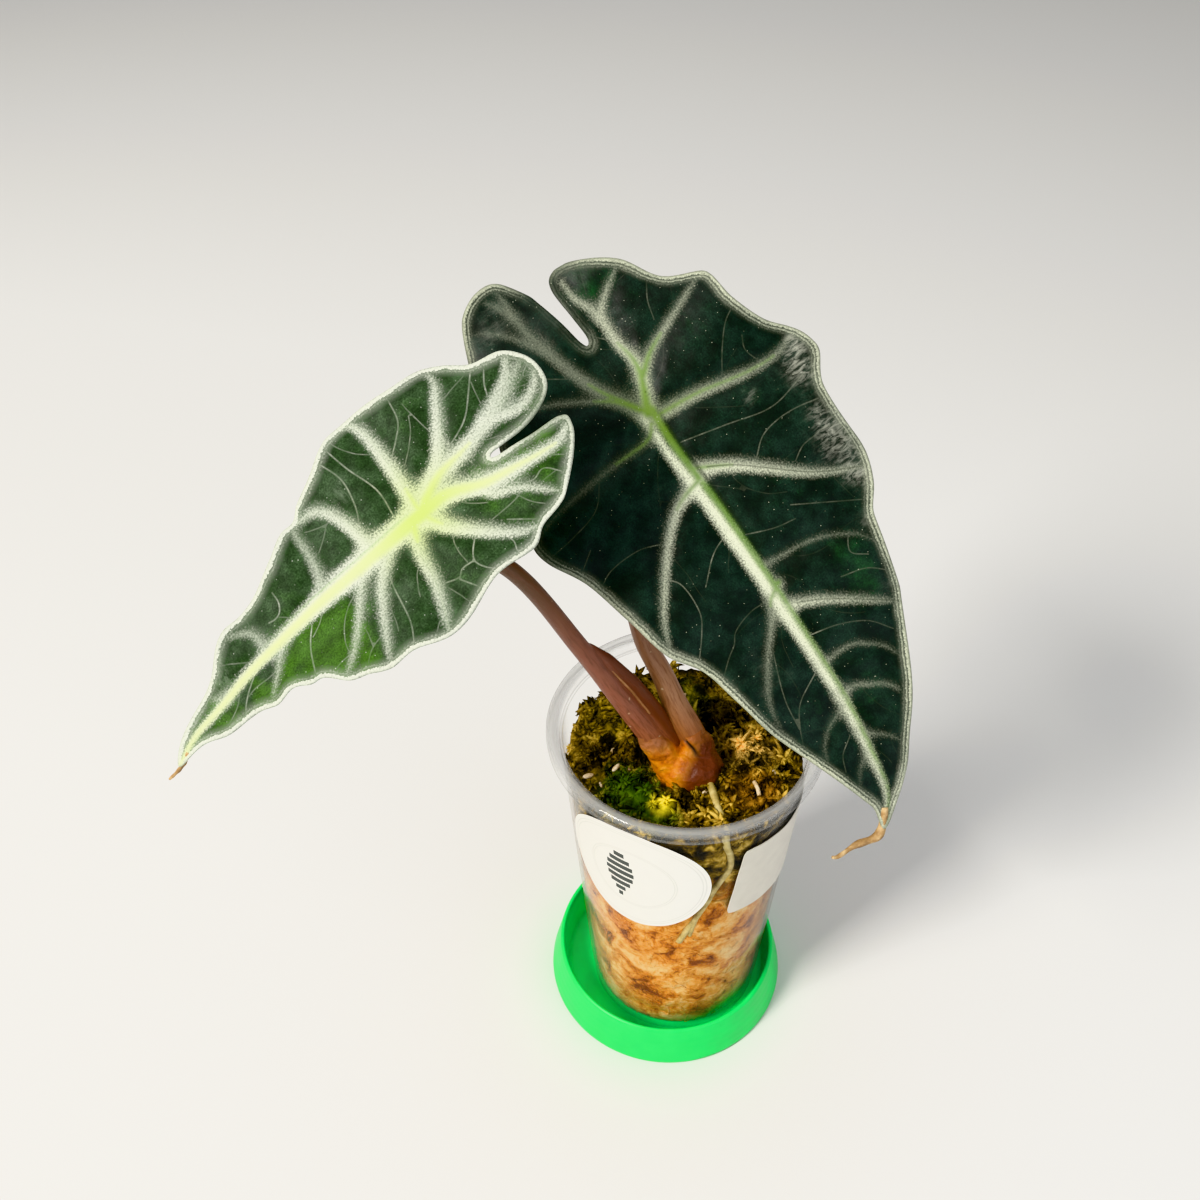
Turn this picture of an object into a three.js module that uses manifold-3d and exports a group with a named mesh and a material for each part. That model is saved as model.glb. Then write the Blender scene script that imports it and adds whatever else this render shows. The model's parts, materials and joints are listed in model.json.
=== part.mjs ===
// A potted variegated alocasia: two arrow-shaped leaves on a short corm, in a clear cup of
// sphagnum that stands in a round plastic stand. Millimetres, +Z up. The origin is the centre
// of the stand's underside, and -Y is the side that shows the round label.

import * as THREE from 'three';
import Module from 'manifold-3d';
import { mergeVertices } from 'three/addons/utils/BufferGeometryUtils.js';

const wasm = await Module();
wasm.setup();

// Driving dimensions

const SEGMENTS = 40;
const CLEARANCE = 0.3;

const STAND = {
  bottomRadius: 46.3,
  topRadius: 42.6,
  height: 18,
  floor: 3,
  recessRadius: 39.4,
  lipRadius: 41,
};

const CUP = {
  x: 3.5,
  baseZ: 3,
  height: 144,
  baseRadius: 32.7,
  bodyRadius: 42.7,
  bodyHeight: 139.2,
  rimRadius: 47.5,
  wall: 0.9,
  ringWidth: 3.4,
  floorRise: 2,
};

const MOSS = { top: 131.5, bottomGap: 0.4, bumpHeight: 1.9 };

const BLADE = 0.9;
const PILLOW = 1;
const HUB = { radius: 3.1, depth: 2.1 };

const LABEL = { gap: 0.42, thickness: 0.3 };
const ROUND_LABEL = { radius: 27.5, angle: -23, z: 108.5 };
const SQUARE_LABEL = { width: 56, height: 38, angle: 68.5, z: 104.5, tilt: -5 };

// Each leaf has its own frame. s runs from the junction with the stalk along the midrib to the
// tip, w runs across to the leaf's right, and the third axis is the normal of the upper face.
// Outlines run clockwise seen from above, from the tip. Vein widths are at the vein's root.

const LEFT_LEAF = {
  name: 'blade_left',
  junction: [-67.15, -39.55, 264.75],
  midribDirection: [-0.6933, -0.5279, -0.4907],
  normal: [-0.08, -0.62, 0.78],
  tipBend: 0.0006,
  lobeBend: 0.001,
  fold: 0.2,
  arch: 0.003,
  waveHeight: 1.6,
  waveLength: 27,
  waveShift: 3,
  outline: [
    [91, 3.5], [79.5, -3.5], [68.5, -8], [58.5, -13.5], [53, -14], [42, -16.5], [36, -18.5], [30, -22],
    [26, -22.5], [22.5, -25], [14, -27.5], [5.5, -32.5], [2.5, -33], [-4.5, -32.5], [-15.5, -30],
    [-24.5, -29.5], [-30, -26.5], [-36, -21], [-44, -17.5], [-47.5, -13], [-48.5, -9], [-47.5, -4],
    [-45, -1.5], [-40, 0], [-33, 0.9], [-27, 1.1], [-24, 1.3], [-23.2, 1.8], [-24.5, 2.2], [-32, 3],
    [-41, 4.2], [-43.5, 5.1], [-45, 6.5], [-44.5, 9], [-43, 11.5], [-30.5, 23], [-27.5, 24], [-21, 24.5],
    [-16.5, 27], [-5, 26.5], [14.5, 29.5], [24, 26], [31, 25], [37, 21.5], [41.5, 19.5], [46.5, 14],
    [49.5, 13.5], [53.5, 11], [59.5, 11], [64.5, 8.5], [68.5, 7.5], [75.5, 7], [81, 4.8],
  ],
  veins: [
    { name: 'midrib', width: 3.4, points: [[0, 0], [26.5, -2], [54, -1.5], [74.5, -1], [86, 2.5]] },
    {
      name: 'left lobe',
      width: 2.4,
      points: [[0, 0], [-10, -4.5], [-26, -6], [-39.5, -11.5], [-43.5, -15.5]],
    },
    { name: 'left lobe fork', width: 1.5, points: [[-30, -7.5], [-38, -4], [-44.5, -5.5]] },
    { name: 'left shoulder', width: 1.7, points: [[-3, -2.5], [-12, -7], [-23, -20], [-26, -26.5]] },
    { name: 'left side 1', width: 1.8, points: [[-0.5, -3], [-2.5, -14.5], [-3, -28], [1.5, -33]] },
    { name: 'left side 2', width: 1.7, points: [[15, -1], [15.5, -10], [18, -18], [26.5, -21.5]] },
    { name: 'left side 3', width: 1.4, points: [[33, -2], [28.5, -12], [27.5, -21]] },
    { name: 'left side 4', width: 1.2, points: [[53, -2], [53, -7.5], [60, -12]] },
    { name: 'right lobe', width: 2.4, points: [[0, 0], [-8, 0.5], [-19, 6], [-30.5, 9], [-43, 8.5]] },
    { name: 'right lobe fork', width: 1.3, points: [[-16.5, 4.5], [-17.5, 9], [-25, 14.5], [-30.5, 21.5]] },
    { name: 'right side 1', width: 1.8, points: [[-0.5, 1], [-3.5, 7.5], [-13.5, 19.5], [-20, 23.5]] },
    { name: 'right side 2', width: 1.8, points: [[3, 0], [6.5, 8], [8.5, 16], [14, 28.5]] },
    { name: 'right side 3', width: 1.5, points: [[12.5, -0.5], [19.5, 7], [30.5, 23.5]] },
    { name: 'right side 4', width: 1.3, points: [[19.5, -1.5], [33, 12.5], [41.5, 18]] },
    { name: 'right side 5', width: 1.1, points: [[49, -1], [54.5, 4.5], [60, 9]] },
  ],
  tipThread: [[87, 3.4, 0], [91, 3.7, -0.4], [94, 3.4, -1], [96, 3.1, -1.6]],
  tipRadii: [0.75, 0.7, 0.5, 0.35],
};

const RIGHT_LEAF = {
  name: 'blade_right',
  junction: [-11.8, 11.45, 263.8],
  midribDirection: [0.5965, -0.5141, -0.6164],
  normal: [0.12, -0.702, 0.702],
  tipBend: 0.0006,
  lobeBend: 0.001,
  fold: 0.2,
  arch: 0.0028,
  waveHeight: 1.8,
  waveLength: 38,
  waveShift: 8,
  outline: [
    [138.5, -8], [131.5, -7.5], [127, -9], [111, -15], [94.5, -21.5], [82, -24.5], [70, -27.5], [60, -34],
    [46, -37.5], [31, -41.5], [20, -47.5], [15, -48.5], [10, -47], [-0.5, -43], [-7, -43], [-19, -39.5],
    [-25.5, -39], [-31.5, -37.5], [-49, -30.5], [-52, -28], [-55, -22.5], [-55.5, -17.5], [-54.5, -15],
    [-52.5, -13], [-46.5, -9.3], [-43, -8.4], [-34, -6.4], [-27, -4.8], [-25.3, -3.7], [-26.5, -2.6],
    [-34, -3], [-40, -3.4], [-44.5, -3.2], [-47.5, -2], [-49, 0.5], [-49, 3], [-48.5, 5.5], [-41, 17],
    [-30.5, 25], [-25, 35.5], [-23, 36.5], [-14, 37.5], [-4.5, 42], [1.5, 47.5], [4.5, 49.5], [8, 50.5],
    [11.5, 50.5], [20.5, 45.5], [40.5, 46.5], [45.5, 45.5], [52, 42.5], [58, 38], [61, 37], [80.5, 33.5],
    [84, 32], [97, 25.5], [109, 19], [118, 13], [126.5, 7.5], [134, -0.5],
  ],
  veins: [
    {
      name: 'midrib',
      width: 3.8,
      points: [[0, 0], [15.5, 3.5], [57.5, 4.5], [83.5, 3], [118, 0], [133, -4.5]],
    },
    { name: 'left lobe', width: 2.6, points: [[0, 0], [-14.5, -9], [-36, -16], [-48, -18.5], [-51.5, -21]] },
    { name: 'left lobe fork', width: 1.5, points: [[-31, -14.5], [-43.5, -25], [-46, -29.5]] },
    {
      name: 'left shoulder',
      width: 1.9,
      points: [[-2, -1.5], [-7, -5.5], [-11, -11], [-19, -29], [-22, -38]],
    },
    { name: 'right lobe', width: 2.6, points: [[0, 0], [-11, 4.5], [-21.5, 4], [-31.5, 3.5], [-45, 0.5]] },
    { name: 'right lobe fork', width: 1.5, points: [[-30.5, 3.5], [-34.5, 8], [-40, 16.5]] },
    { name: 'right shoulder', width: 2, points: [[-9.5, 4.5], [-16.5, 15], [-24.5, 33]] },
    { name: 'right side 1', width: 2.1, points: [[2, 1], [3, 14], [6, 30.5], [6, 40], [4, 45.5]] },
    { name: 'right side 2', width: 2.1, points: [[20.5, 2.5], [26, 12.5], [39, 28.5], [46, 42.5]] },
    { name: 'right side 3', width: 1.3, points: [[54, 3], [55.5, 18], [59, 27.5], [65.5, 33.5]] },
    { name: 'right side 4', width: 1.8, points: [[67.5, 3.5], [72.5, 14], [84, 30.5]] },
    { name: 'right side 5', width: 1.1, points: [[87, 2.5], [87, 12.5], [92.5, 20], [97.5, 22.5]] },
    { name: 'right side 6', width: 1.1, points: [[97.5, 1.5], [102.5, 15], [107, 17.5]] },
    { name: 'left side 1', width: 2, points: [[3, -1], [6, -3.5], [7.5, -20], [12.5, -45]] },
    { name: 'left side 2', width: 2, points: [[23.5, 2], [27, -8], [34.5, -16.5], [49.5, -28], [58.5, -32]] },
    { name: 'left side 3', width: 1.8, points: [[60.5, 4.5], [63.5, 0], [78, -11], [90.5, -17.5]] },
    { name: 'left side 4', width: 1, points: [[101, 1], [105.5, -8], [112.5, -12]] },
  ],
  tipThread: [[133, -4.5, 0], [138.4, -8.6, -1], [139.4, -10.8, -1.6], [137.5, -17.9, -2],
    [136.8, -24.4, -1], [135.9, -25.6, -0.6]],
  tipRadii: [1.2, 1.3, 1.3, 1.1, 0.7, 0.5],
};

// Spacing of the leaf mesh's points along the outline, along the veins and between them.
const OUTLINE_STEP = 4.4;
const VEIN_STEP = 6;
const FILL_STEP = 7;
const RIB = { height: 0.5, fadeLength: 30 };

// Stalks: points from the corm up, and radii spread evenly along the length. The curve ends
// on the normal of the blade that the stalk carries, so that it meets the blade squarely.

const LEFT_STALK = {
  points: [[-3.6, -6.2, 137], [-5.5, -7.3, 142], [-9.8, -9.2, 151], [-17.8, -13, 170], [-29.5, -19, 199],
    [-46, -27.2, 235], [-60, -31.5, 250]],
  radii: [5, 5.2, 4.1, 3.3, 3, 2.8, 2.6, 2.4, 2.5],
};

const RIGHT_STALK = {
  points: [[7.6, -3.6, 137], [6.2, -3.1, 142], [-0.4, -1.8, 156], [-5.8, 0, 170], [-11.9, 1.2, 184],
    [-16, 5, 205], [-17, 11, 228], [-15.2, 18, 247]],
  radii: [5.4, 5, 4.2, 3.8, 3.6, 3.3, 3, 2.8, 2.7, 2.8],
};

// The sheath is the wing along the right of the left stalk, between two shares of its length.
const SHEATH = {
  start: 0.03,
  end: 0.43,
  width: 8.2,
  topWidth: 2.4,
  thickness: 1.3,
  steps: 12,
  across: [0.745, 0.49, 0.446],
};

const CORM = {
  axis: [[7, -8, 121], [5.2, -7.8, 131], [1, -6.9, 138], [-2, -6.2, 144.5]],
  radii: [2.5, 7, 9, 9.9, 10.2, 10, 9.3, 8, 5],
  stretch: 1.2,
  steps: 12,
  sides: 14,
  bumpHeight: 0.45,
};

const ROOT = {
  main: [[10, -9, 131], [12.6, -15, 132.6], [15.6, -25.8, 133.2], [18, -32.5, 132.6]],
  wallAngles: [[22.5, 129.5], [25.5, 122], [25.6, 115], [17.2, 102], [12.2, 90.8], [5, 77], [2, 70]],
  strand: [[19.5, 106], [13.8, 93], [10.2, 82], [8.3, 74]],
  radius: 1.15,
  strandRadius: 0.8,
};

const COLOURS = {
  stand: 0x00c853,
  cup: 0xdfe5e3,
  moss: 0x8a6a2c,
  corm: 0xb5611f,
  petioleLeft: 0x9a6553,
  petioleRight: 0x94695a,
  bladeLeft: 0x4f7a4a,
  bladeRight: 0x1d4634,
  root: 0xc9bd7c,
  paper: 0xf1efe8,
};

// General helpers

const vector = (values) => new THREE.Vector3(...values);

const planar = (points) => points.map(([s, w]) => new THREE.Vector3(s, w, 0));

function smoothCurve(points, closed = false) {
  return new THREE.CatmullRomCurve3(points, closed, 'centripetal');
}

function indexedGeometry(positions, triangles) {
  const geometry = new THREE.BufferGeometry();
  geometry.setAttribute('position', new THREE.Float32BufferAttribute(positions, 3));
  geometry.setIndex(triangles);
  return geometry;
}

function toSolid(geometry) {
  const bare = geometry.clone();
  bare.deleteAttribute('normal');
  bare.deleteAttribute('uv');
  const merged = mergeVertices(bare);
  return new wasm.Manifold(new wasm.Mesh({
    numProp: 3,
    vertProperties: new Float32Array(merged.getAttribute('position').array),
    triVerts: new Uint32Array(merged.getIndex().array),
  }));
}

function toGeometry(solid) {
  const { vertProperties, triVerts } = solid.getMesh();
  return indexedGeometry(Array.from(vertProperties), Array.from(triVerts));
}

function listValue(values, t) {
  const at = Math.min(Math.max(t, 0), 1) * (values.length - 1);
  const low = Math.min(Math.floor(at), values.length - 2);
  return values[low] + (values[low + 1] - values[low]) * (at - low);
}

// A closed round tube along a curve. radiusAt gives its radius from 0 to 1 along the curve.
function taperedTube(curve, radiusAt, steps, sides) {
  const frames = curve.computeFrenetFrames(steps);
  const positions = [];
  const triangles = [];
  for (let i = 0; i <= steps; i += 1) {
    const centre = curve.getPointAt(i / steps);
    for (let j = 0; j < sides; j += 1) {
      const turn = (2 * Math.PI * j) / sides;
      const radius = radiusAt(i / steps, turn);
      const point = centre.clone()
        .addScaledVector(frames.normals[i], radius * Math.cos(turn))
        .addScaledVector(frames.binormals[i], radius * Math.sin(turn));
      positions.push(...point.toArray());
    }
  }
  const first = (steps + 1) * sides;
  positions.push(...curve.getPointAt(0).toArray(), ...curve.getPointAt(1).toArray());
  for (let j = 0; j < sides; j += 1) {
    const next = (j + 1) % sides;
    for (let i = 0; i < steps; i += 1) {
      const low = i * sides;
      const high = low + sides;
      triangles.push(low + j, low + next, high + next, low + j, high + next, high + j);
    }
    const last = steps * sides;
    triangles.push(first, next, j, first + 1, last + j, last + next);
  }
  return indexedGeometry(positions, triangles);
}

function latheUp(profile) {
  const points = profile.map(([r, z]) => new THREE.Vector2(r, z));
  const geometry = new THREE.LatheGeometry(points, SEGMENTS);
  geometry.rotateX(Math.PI / 2);
  return geometry;
}

// Stand, cup and moss

function standGeometry() {
  const { bottomRadius, topRadius, height, floor, recessRadius, lipRadius } = STAND;
  const round = 1;
  return latheUp([
    [0, 0],
    [bottomRadius - round, 0],
    [bottomRadius, round],
    [topRadius + 0.1, height - round],
    [topRadius - 0.4, height],
    [lipRadius + 0.3, height],
    [lipRadius, height - round],
    [recessRadius, floor + round],
    [recessRadius - round, floor],
    [0, floor],
  ]);
}

function wallRadius(z) {
  const slope = (CUP.bodyRadius - CUP.baseRadius) / CUP.bodyHeight;
  return CUP.baseRadius + slope * (z - CUP.baseZ);
}

function innerRadius(z) {
  return wallRadius(z) - CUP.wall;
}

function cupGeometry() {
  const { baseZ, height, bodyRadius, bodyHeight, rimRadius, wall, ringWidth, floorRise } = CUP;
  const top = baseZ + height;
  const body = baseZ + bodyHeight;
  const ring = CUP.baseRadius - ringWidth;
  return latheUp([
    [0, baseZ + floorRise],
    [ring - 1, baseZ + floorRise],
    [ring, baseZ],
    [CUP.baseRadius, baseZ],
    [bodyRadius, body],
    [rimRadius - 3.6, top - 2.6],
    [rimRadius - 2.2, top - 1.3],
    [rimRadius - 1.2, top - 2.2],
    [rimRadius - 1, body],
    [rimRadius, body],
    [rimRadius, top - 1.5],
    [rimRadius - 1.3, top - 0.2],
    [rimRadius - 2.6, top],
    [rimRadius - 4.3, top - 1.6],
    [bodyRadius - wall, body],
    [innerRadius(baseZ + floorRise + wall), baseZ + floorRise + wall],
    [0, baseZ + floorRise + wall],
  ]);
}

function mossBump(x, y) {
  return Math.sin(0.31 * x + 0.9) * Math.cos(0.27 * y - 0.4)
    + 0.6 * Math.sin(0.62 * y + 0.35 * x + 2.1)
    + 0.35 * Math.cos(0.93 * x - 0.7 * y);
}

function mossBody() {
  const bottom = CUP.baseZ + CUP.floorRise + CUP.wall + MOSS.bottomGap;
  const profile = [[0, bottom]];
  const levels = [bottom, 35, 68, 101, MOSS.top - 3];
  for (const z of levels) {
    profile.push([innerRadius(z) - CLEARANCE, z]);
  }
  const edge = innerRadius(MOSS.top - 3) - CLEARANCE;
  for (const share of [0.94, 0.84, 0.71, 0.57, 0.42, 0.27, 0.13, 0]) {
    profile.push([edge * share, MOSS.top]);
  }
  const geometry = latheUp(profile);
  const place = geometry.getAttribute('position');
  for (let i = 0; i < place.count; i += 1) {
    if (place.getZ(i) > MOSS.top - 0.01) {
      place.setZ(i, MOSS.top + MOSS.bumpHeight * mossBump(place.getX(i), place.getY(i)) * 0.6);
    }
  }
  geometry.translate(CUP.x, 0, 0);
  return toSolid(geometry);
}

// Corm, root and stalks

function cormSolid(grow = 0) {
  const curve = smoothCurve(CORM.axis.map(vector));
  const knob = (t, turn) => CORM.bumpHeight * Math.sin(3 * turn + 7 * t) * Math.sin(9 * t + 2 * turn);
  const radiusAt = (t, turn) => listValue(CORM.radii, t) + knob(t, turn) + grow;
  const geometry = taperedTube(curve, radiusAt, CORM.steps, CORM.sides);
  const middle = CORM.axis[2][0];
  geometry.translate(-middle, 0, 0).scale(CORM.stretch, 1, 1).translate(middle, 0, 0);
  return toSolid(geometry);
}

function stalkCurve(stalk, leaf) {
  const junction = vector(leaf.junction);
  const normal = vector(leaf.normal).normalize();
  const end = BLADE + HUB.depth + CLEARANCE;
  const onNormal = (depth) => junction.clone().addScaledVector(normal, -depth);
  return smoothCurve([...stalk.points.map(vector), onNormal(end + 7), onNormal(end)]);
}

function stalkSolid(stalk, leaf, grow = 0) {
  const curve = stalkCurve(stalk, leaf);
  return toSolid(taperedTube(curve, (t) => listValue(stalk.radii, t) + grow, 18, 8));
}

// The wing is a thin plate that leaves the stalk's line sideways, widest in its middle.
function sheathSolid(grow = 0) {
  const curve = stalkCurve(LEFT_STALK, LEFT_LEAF);
  const across = vector(SHEATH.across).normalize();
  const positions = [];
  const triangles = [];
  const corners = 4;
  for (let i = 0; i <= SHEATH.steps; i += 1) {
    const share = i / SHEATH.steps;
    const t = SHEATH.start + share * (SHEATH.end - SHEATH.start);
    const centre = curve.getPointAt(t);
    const tangent = curve.getTangentAt(t);
    const bulge = Math.sin(Math.PI * (0.25 + 0.75 * share));
    const width = SHEATH.topWidth + (SHEATH.width - SHEATH.topWidth) * bulge + grow;
    const side = new THREE.Vector3().crossVectors(across, tangent).normalize();
    const half = SHEATH.thickness / 2 + grow;
    const outer = centre.clone().addScaledVector(across, width);
    for (const [base, sign] of [[centre, -1], [outer, -0.6], [outer, 0.6], [centre, 1]]) {
      positions.push(...base.clone().addScaledVector(side, sign * half).toArray());
    }
  }
  for (let i = 0; i < SHEATH.steps; i += 1) {
    for (let j = 0; j < corners; j += 1) {
      const low = i * corners;
      const next = (j + 1) % corners;
      const high = low + corners;
      triangles.push(low + j, high + next, low + next, low + j, high + j, high + next);
    }
  }
  const last = SHEATH.steps * corners;
  triangles.push(0, 1, 2, 0, 2, 3, last, last + 2, last + 1, last, last + 3, last + 2);
  return toSolid(indexedGeometry(positions, triangles));
}

function wallPoint([angle, z], inset) {
  const turn = THREE.MathUtils.degToRad(angle);
  const radius = innerRadius(z) * Math.cos(Math.PI / SEGMENTS) - inset;
  return new THREE.Vector3(CUP.x + radius * Math.sin(turn), -radius * Math.cos(turn), z);
}

function rootSolid(grow = 0) {
  const inset = (radius) => radius + CLEARANCE + 0.05;
  const main = smoothCurve([
    ...ROOT.main.map(vector),
    ...ROOT.wallAngles.map((place) => wallPoint(place, inset(ROOT.radius))),
  ]);
  const strand = smoothCurve(ROOT.strand.map((place) => wallPoint(place, inset(ROOT.strandRadius))));
  const taper = (radius) => (t) => radius * (1 - 0.35 * t) + grow;
  return toSolid(taperedTube(main, taper(ROOT.radius), 22, 6))
    .add(toSolid(taperedTube(strand, taper(ROOT.strandRadius), 7, 6)));
}

// Leaf blades

function distanceToPath(path, s, w) {
  let nearest = Infinity;
  for (let i = 0; i + 1 < path.length; i += 1) {
    const [s0, w0] = path[i];
    const ds = path[i + 1][0] - s0;
    const dw = path[i + 1][1] - w0;
    const along = ((s - s0) * ds + (w - w0) * dw) / (ds * ds + dw * dw);
    const share = Math.min(1, Math.max(0, along));
    nearest = Math.min(nearest, Math.hypot(s - s0 - share * ds, w - w0 - share * dw));
  }
  return nearest;
}

// Height of the upper face above the leaf's plane: the bend along the midrib, the shallow fold
// and arch across it, the wave of the margin, and the pillows between the veins.
function leafHeight(leaf, s, w) {
  const bend = s > 0 ? leaf.tipBend : leaf.lobeBend;
  const across = leaf.fold * (Math.hypot(w, 6) - 6) - leaf.arch * w * w;
  const margin = distanceToPath([...leaf.outline, leaf.outline[0]], s, w);
  const vein = Math.min(...leaf.veins.map(({ points }) => distanceToPath(points, s, w)));
  const phase = 2 * Math.PI * ((s + leaf.waveShift) / leaf.waveLength + w / 90);
  const wave = leaf.waveHeight * Math.exp(-margin / 7) * Math.sin(phase);
  const pillow = PILLOW * (1 - Math.exp(-((vein / 4) ** 2))) * (1 - Math.exp(-margin / 5));
  return -bend * s * s + across + wave + pillow;
}

function insideOutline(outline, s, w) {
  let inside = false;
  for (let i = 0; i < outline.length; i += 1) {
    const [s0, w0] = outline[i];
    const [s1, w1] = outline[(i + 1) % outline.length];
    if ((w0 > w) !== (w1 > w) && s < s0 + ((w - w0) / (w1 - w0)) * (s1 - s0)) {
      inside = !inside;
    }
  }
  return inside;
}

function circleThrough(points, corners) {
  const [[ax, ay], [bx, by], [cx, cy]] = corners.map((i) => points[i]);
  const twice = 2 * ((bx - ax) * (cy - ay) - (cx - ax) * (by - ay));
  const b = (bx - ax) ** 2 + (by - ay) ** 2;
  const c = (cx - ax) ** 2 + (cy - ay) ** 2;
  const x = ((cy - ay) * b - (by - ay) * c) / twice;
  const y = ((bx - ax) * c - (cx - ax) * b) / twice;
  return { corners, x: ax + x, y: ay + y, squared: x * x + y * y };
}

// Delaunay triangles of flat points, one point added at a time. Every triangle turns leftward.
function delaunay(points) {
  const far = 5000;
  const count = points.length;
  const all = [...points, [-far, -far], [far, -far], [0, far]];
  let kept = [circleThrough(all, [count, count + 1, count + 2])];
  points.forEach(([s, w], index) => {
    const isOpen = ({ x, y, squared }) => (s - x) ** 2 + (w - y) ** 2 < squared;
    const border = new Map();
    for (const { corners } of kept.filter(isOpen)) {
      for (let k = 0; k < 3; k += 1) {
        const from = corners[k];
        const to = corners[(k + 1) % 3];
        if (!border.delete(`${to} ${from}`)) {
          border.set(`${from} ${to}`, [from, to, index]);
        }
      }
    }
    kept = kept.filter((triangle) => !isOpen(triangle));
    for (const corners of border.values()) {
      kept.push(circleThrough(all, corners));
    }
  });
  return kept.map(({ corners }) => corners).filter((corners) => Math.max(...corners) < count);
}

// Adds a point unless it lies outside the outline or too near to one that is there already.
function addApart(points, outline, [s, w], apart) {
  const tooNear = points.some((point) => Math.hypot(point[0] - s, point[1] - w) < apart);
  if (!tooNear && insideOutline(outline, s, w)) {
    points.push([s, w]);
  }
}

// Points inside the leaf: along each vein, on both flanks of each vein, then spread between.
function innerPoints(leaf, outline) {
  const points = [...outline];
  addApart(points, outline, [0, 0], 0);
  const curves = leaf.veins.map((vein) => smoothCurve(planar(vein.points)));
  const flanks = [];
  curves.forEach((curve, index) => {
    const steps = Math.round(curve.getLength() / VEIN_STEP);
    for (let i = 0; i <= steps; i += 1) {
      const { x, y } = curve.getPointAt(i / steps);
      const tangent = curve.getTangentAt(i / steps);
      addApart(points, outline, [x, y], 2.2);
      const reach = 0.6 + 0.4 * leaf.veins[index].width * (1 - (0.4 * i) / steps);
      flanks.push([x - tangent.y * reach, y + tangent.x * reach]);
      flanks.push([x + tangent.y * reach, y - tangent.x * reach]);
    }
  });
  flanks.forEach((flank) => addApart(points, outline, flank, 1.05));
  for (let row = -16; row <= 16; row += 1) {
    for (let column = -12; column <= 24; column += 1) {
      const place = [FILL_STEP * (column + 0.5 * (row & 1)), FILL_STEP * 0.87 * row];
      addApart(points, outline, place, FILL_STEP * 0.6);
    }
  }
  return points.slice(outline.length);
}

// Triangles of the leaf seen from above. Outline edges that the triangles don't hold are split
// in two until all are there, and triangles outside the outline are dropped.
function bladeMesh(leaf) {
  const curve = smoothCurve(planar(leaf.outline), true);
  const steps = Math.round(curve.getLength() / OUTLINE_STEP);
  let rim = Array.from({ length: steps }, (_, i) => curve.getPointAt(i / steps)).map(({ x, y }) => [x, y]);
  const inner = innerPoints(leaf, rim);
  for (;;) {
    const points = [...rim, ...inner];
    const triangles = delaunay(points);
    const edges = new Set();
    for (const [a, b, c] of triangles) {
      edges.add(`${a} ${b}`).add(`${b} ${c}`).add(`${c} ${a}`);
      edges.add(`${b} ${a}`).add(`${c} ${b}`).add(`${a} ${c}`);
    }
    const count = rim.length;
    const next = [];
    rim.forEach(([s, w], i) => {
      const after = (i + 1) % count;
      next.push([s, w]);
      if (!edges.has(`${i} ${after}`)) {
        next.push([(s + rim[after][0]) / 2, (w + rim[after][1]) / 2]);
      }
    });
    if (next.length === count) {
      const isLeaf = (corners) => {
        const s = corners.reduce((sum, i) => sum + points[i][0] / 3, 0);
        const w = corners.reduce((sum, i) => sum + points[i][1] / 3, 0);
        return insideOutline(rim, s, w);
      };
      return { points, rimCount: count, triangles: triangles.filter(isLeaf) };
    }
    rim = next;
  }
}

// How far the rib under the nearest vein stands out: a ridge that thins toward the margin.
function ribDepth(leaf, s, w) {
  let depth = 0;
  for (const { width, points } of leaf.veins) {
    const distance = distanceToPath(points, s, w);
    const [endS, endW] = points[points.length - 1];
    const fromEnd = Math.hypot(s - endS, w - endW);
    const size = RIB.height * width * Math.min(1, 0.25 + fromEnd / RIB.fadeLength);
    depth = Math.max(depth, size * (1 - distance / (0.5 * width + 0.3)));
  }
  return depth;
}

function plateSolid(leaf) {
  const { points, rimCount, triangles } = bladeMesh(leaf);
  const count = points.length;
  const heights = points.map(([s, w]) => leafHeight(leaf, s, w));
  const positions = [];
  points.forEach(([s, w], i) => positions.push(s, w, heights[i]));
  points.forEach(([s, w], i) => {
    const rib = i < rimCount ? 0 : ribDepth(leaf, s, w);
    positions.push(s, w, heights[i] - BLADE - rib);
  });
  const faces = [];
  for (const [a, b, c] of triangles) {
    faces.push(a, b, c, count + a, count + c, count + b);
  }
  for (let i = 0; i < rimCount; i += 1) {
    const next = (i + 1) % rimCount;
    faces.push(i, next, count + next, i, count + next, count + i);
  }
  return toSolid(indexedGeometry(positions, faces));
}

function bladeSolid(leaf) {
  const depth = BLADE / 2 + HUB.depth;
  const hub = new THREE.CylinderGeometry(HUB.radius, HUB.radius * 0.85, depth, 10);
  hub.rotateX(Math.PI / 2);
  hub.translate(0, 0, -BLADE / 2 - depth / 2);
  const thread = smoothCurve(leaf.tipThread.map(([s, w, lift]) => {
    return new THREE.Vector3(s, w, leafHeight(leaf, s, w) - BLADE / 2 + lift);
  }));
  const tip = taperedTube(thread, (t) => listValue(leaf.tipRadii, t), 8, 6);
  return plateSolid(leaf).add(toSolid(hub)).add(toSolid(tip));
}

function bladeRotation(leaf) {
  const normal = vector(leaf.normal).normalize();
  const midrib = vector(leaf.midribDirection);
  midrib.addScaledVector(normal, -midrib.dot(normal)).normalize();
  const across = new THREE.Vector3().crossVectors(normal, midrib);
  const basis = new THREE.Matrix4().makeBasis(midrib, across, normal);
  return new THREE.Quaternion().setFromRotationMatrix(basis);
}

// Labels: thin patches that follow the cup's wall. edge lists the outline round the centre.

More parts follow.
